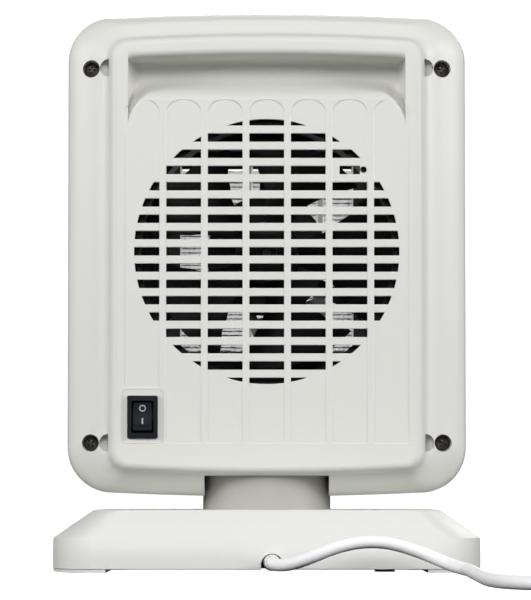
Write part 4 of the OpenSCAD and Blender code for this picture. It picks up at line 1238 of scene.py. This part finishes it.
area_light("key_box", (0.1, 2.2, 1.08), (0, 0, 0.15), (1.5, 0.8), 27)
area_light("left_box", (1.8, 0.95, 0.75), (0, 0, 0.12), (0.6, 0.8), 26)
area_light("right_box", (-1.8, 0.95, 0.75), (0, 0, 0.12), (0.6, 0.8), 29)
area_light("front_box", (-0.4, -2.1, 1.3), (0, 0, 0.15), (1.4, 1), 36)
area_light("back_box", (0.15, 2.3, 0.7), (0, 0, 0.16), (1.2, 0.8), 3)
area_light("fin_glow", (0, -0.0195, FAN_Z * MM), (0, -0.1, FAN_Z * MM), (0.1, 0.1), 0.019)


def world():
    """White to the camera; for light, bright above and dim below."""
    studio = bpy.data.worlds.new("studio")
    studio.use_nodes = True
    nodes, links = studio.node_tree.nodes, studio.node_tree.links
    nodes.clear()
    out = add(nodes, "OutputWorld")
    mix = add(nodes, "MixShader")
    path = add(nodes, "LightPath")
    seen = add(nodes, "Background", {"Color": (1, 1, 1, 1), "Strength": WHITE_GLOW})
    light = add(nodes, "Background")
    place = add(nodes, "TexCoord")
    split = add(nodes, "SeparateXYZ")
    level = add(nodes, "MapRange", {"From Min": -1})
    ramp = add(nodes, "ValToRGB")
    stops = ((0, 0), (0.5, 0), (0.58, 0.2), (0.65, 0.85), (0.77, 0.4), (1, 0))
    while len(ramp.color_ramp.elements) < len(stops):
        ramp.color_ramp.elements.new(0.5)
    for element, (at, value) in zip(ramp.color_ramp.elements, stops):
        element.position = at
        element.color = (value, value, value, 1)
    links.new(place.outputs["Generated"], split.inputs["Vector"])
    links.new(split.outputs["Z"], level.inputs["Value"])
    links.new(level.outputs["Result"], ramp.inputs["Fac"])
    across = add(nodes, "Math", {1: 2})
    across.operation = "POWER"
    sides = add(nodes, "Math", {1: 0.7, 2: 0.36})
    sides.operation = "MULTIPLY_ADD"
    both = add(nodes, "Math")
    both.operation = "MULTIPLY"
    links.new(split.outputs["X"], across.inputs[0])
    links.new(across.outputs["Value"], sides.inputs[0])
    links.new(ramp.outputs["Color"], both.inputs[0])
    links.new(sides.outputs["Value"], both.inputs[1])
    links.new(both.outputs["Value"], light.inputs["Strength"])
    links.new(path.outputs["Is Camera Ray"], mix.inputs["Fac"])
    links.new(light.outputs["Background"], mix.inputs[1])
    links.new(seen.outputs["Background"], mix.inputs[2])
    links.new(mix.outputs["Shader"], out.inputs["Surface"])
    bpy.context.scene.world = studio


world()
look = bpy.context.scene.view_settings
look.view_transform = "Standard"
look.exposure = -0.2
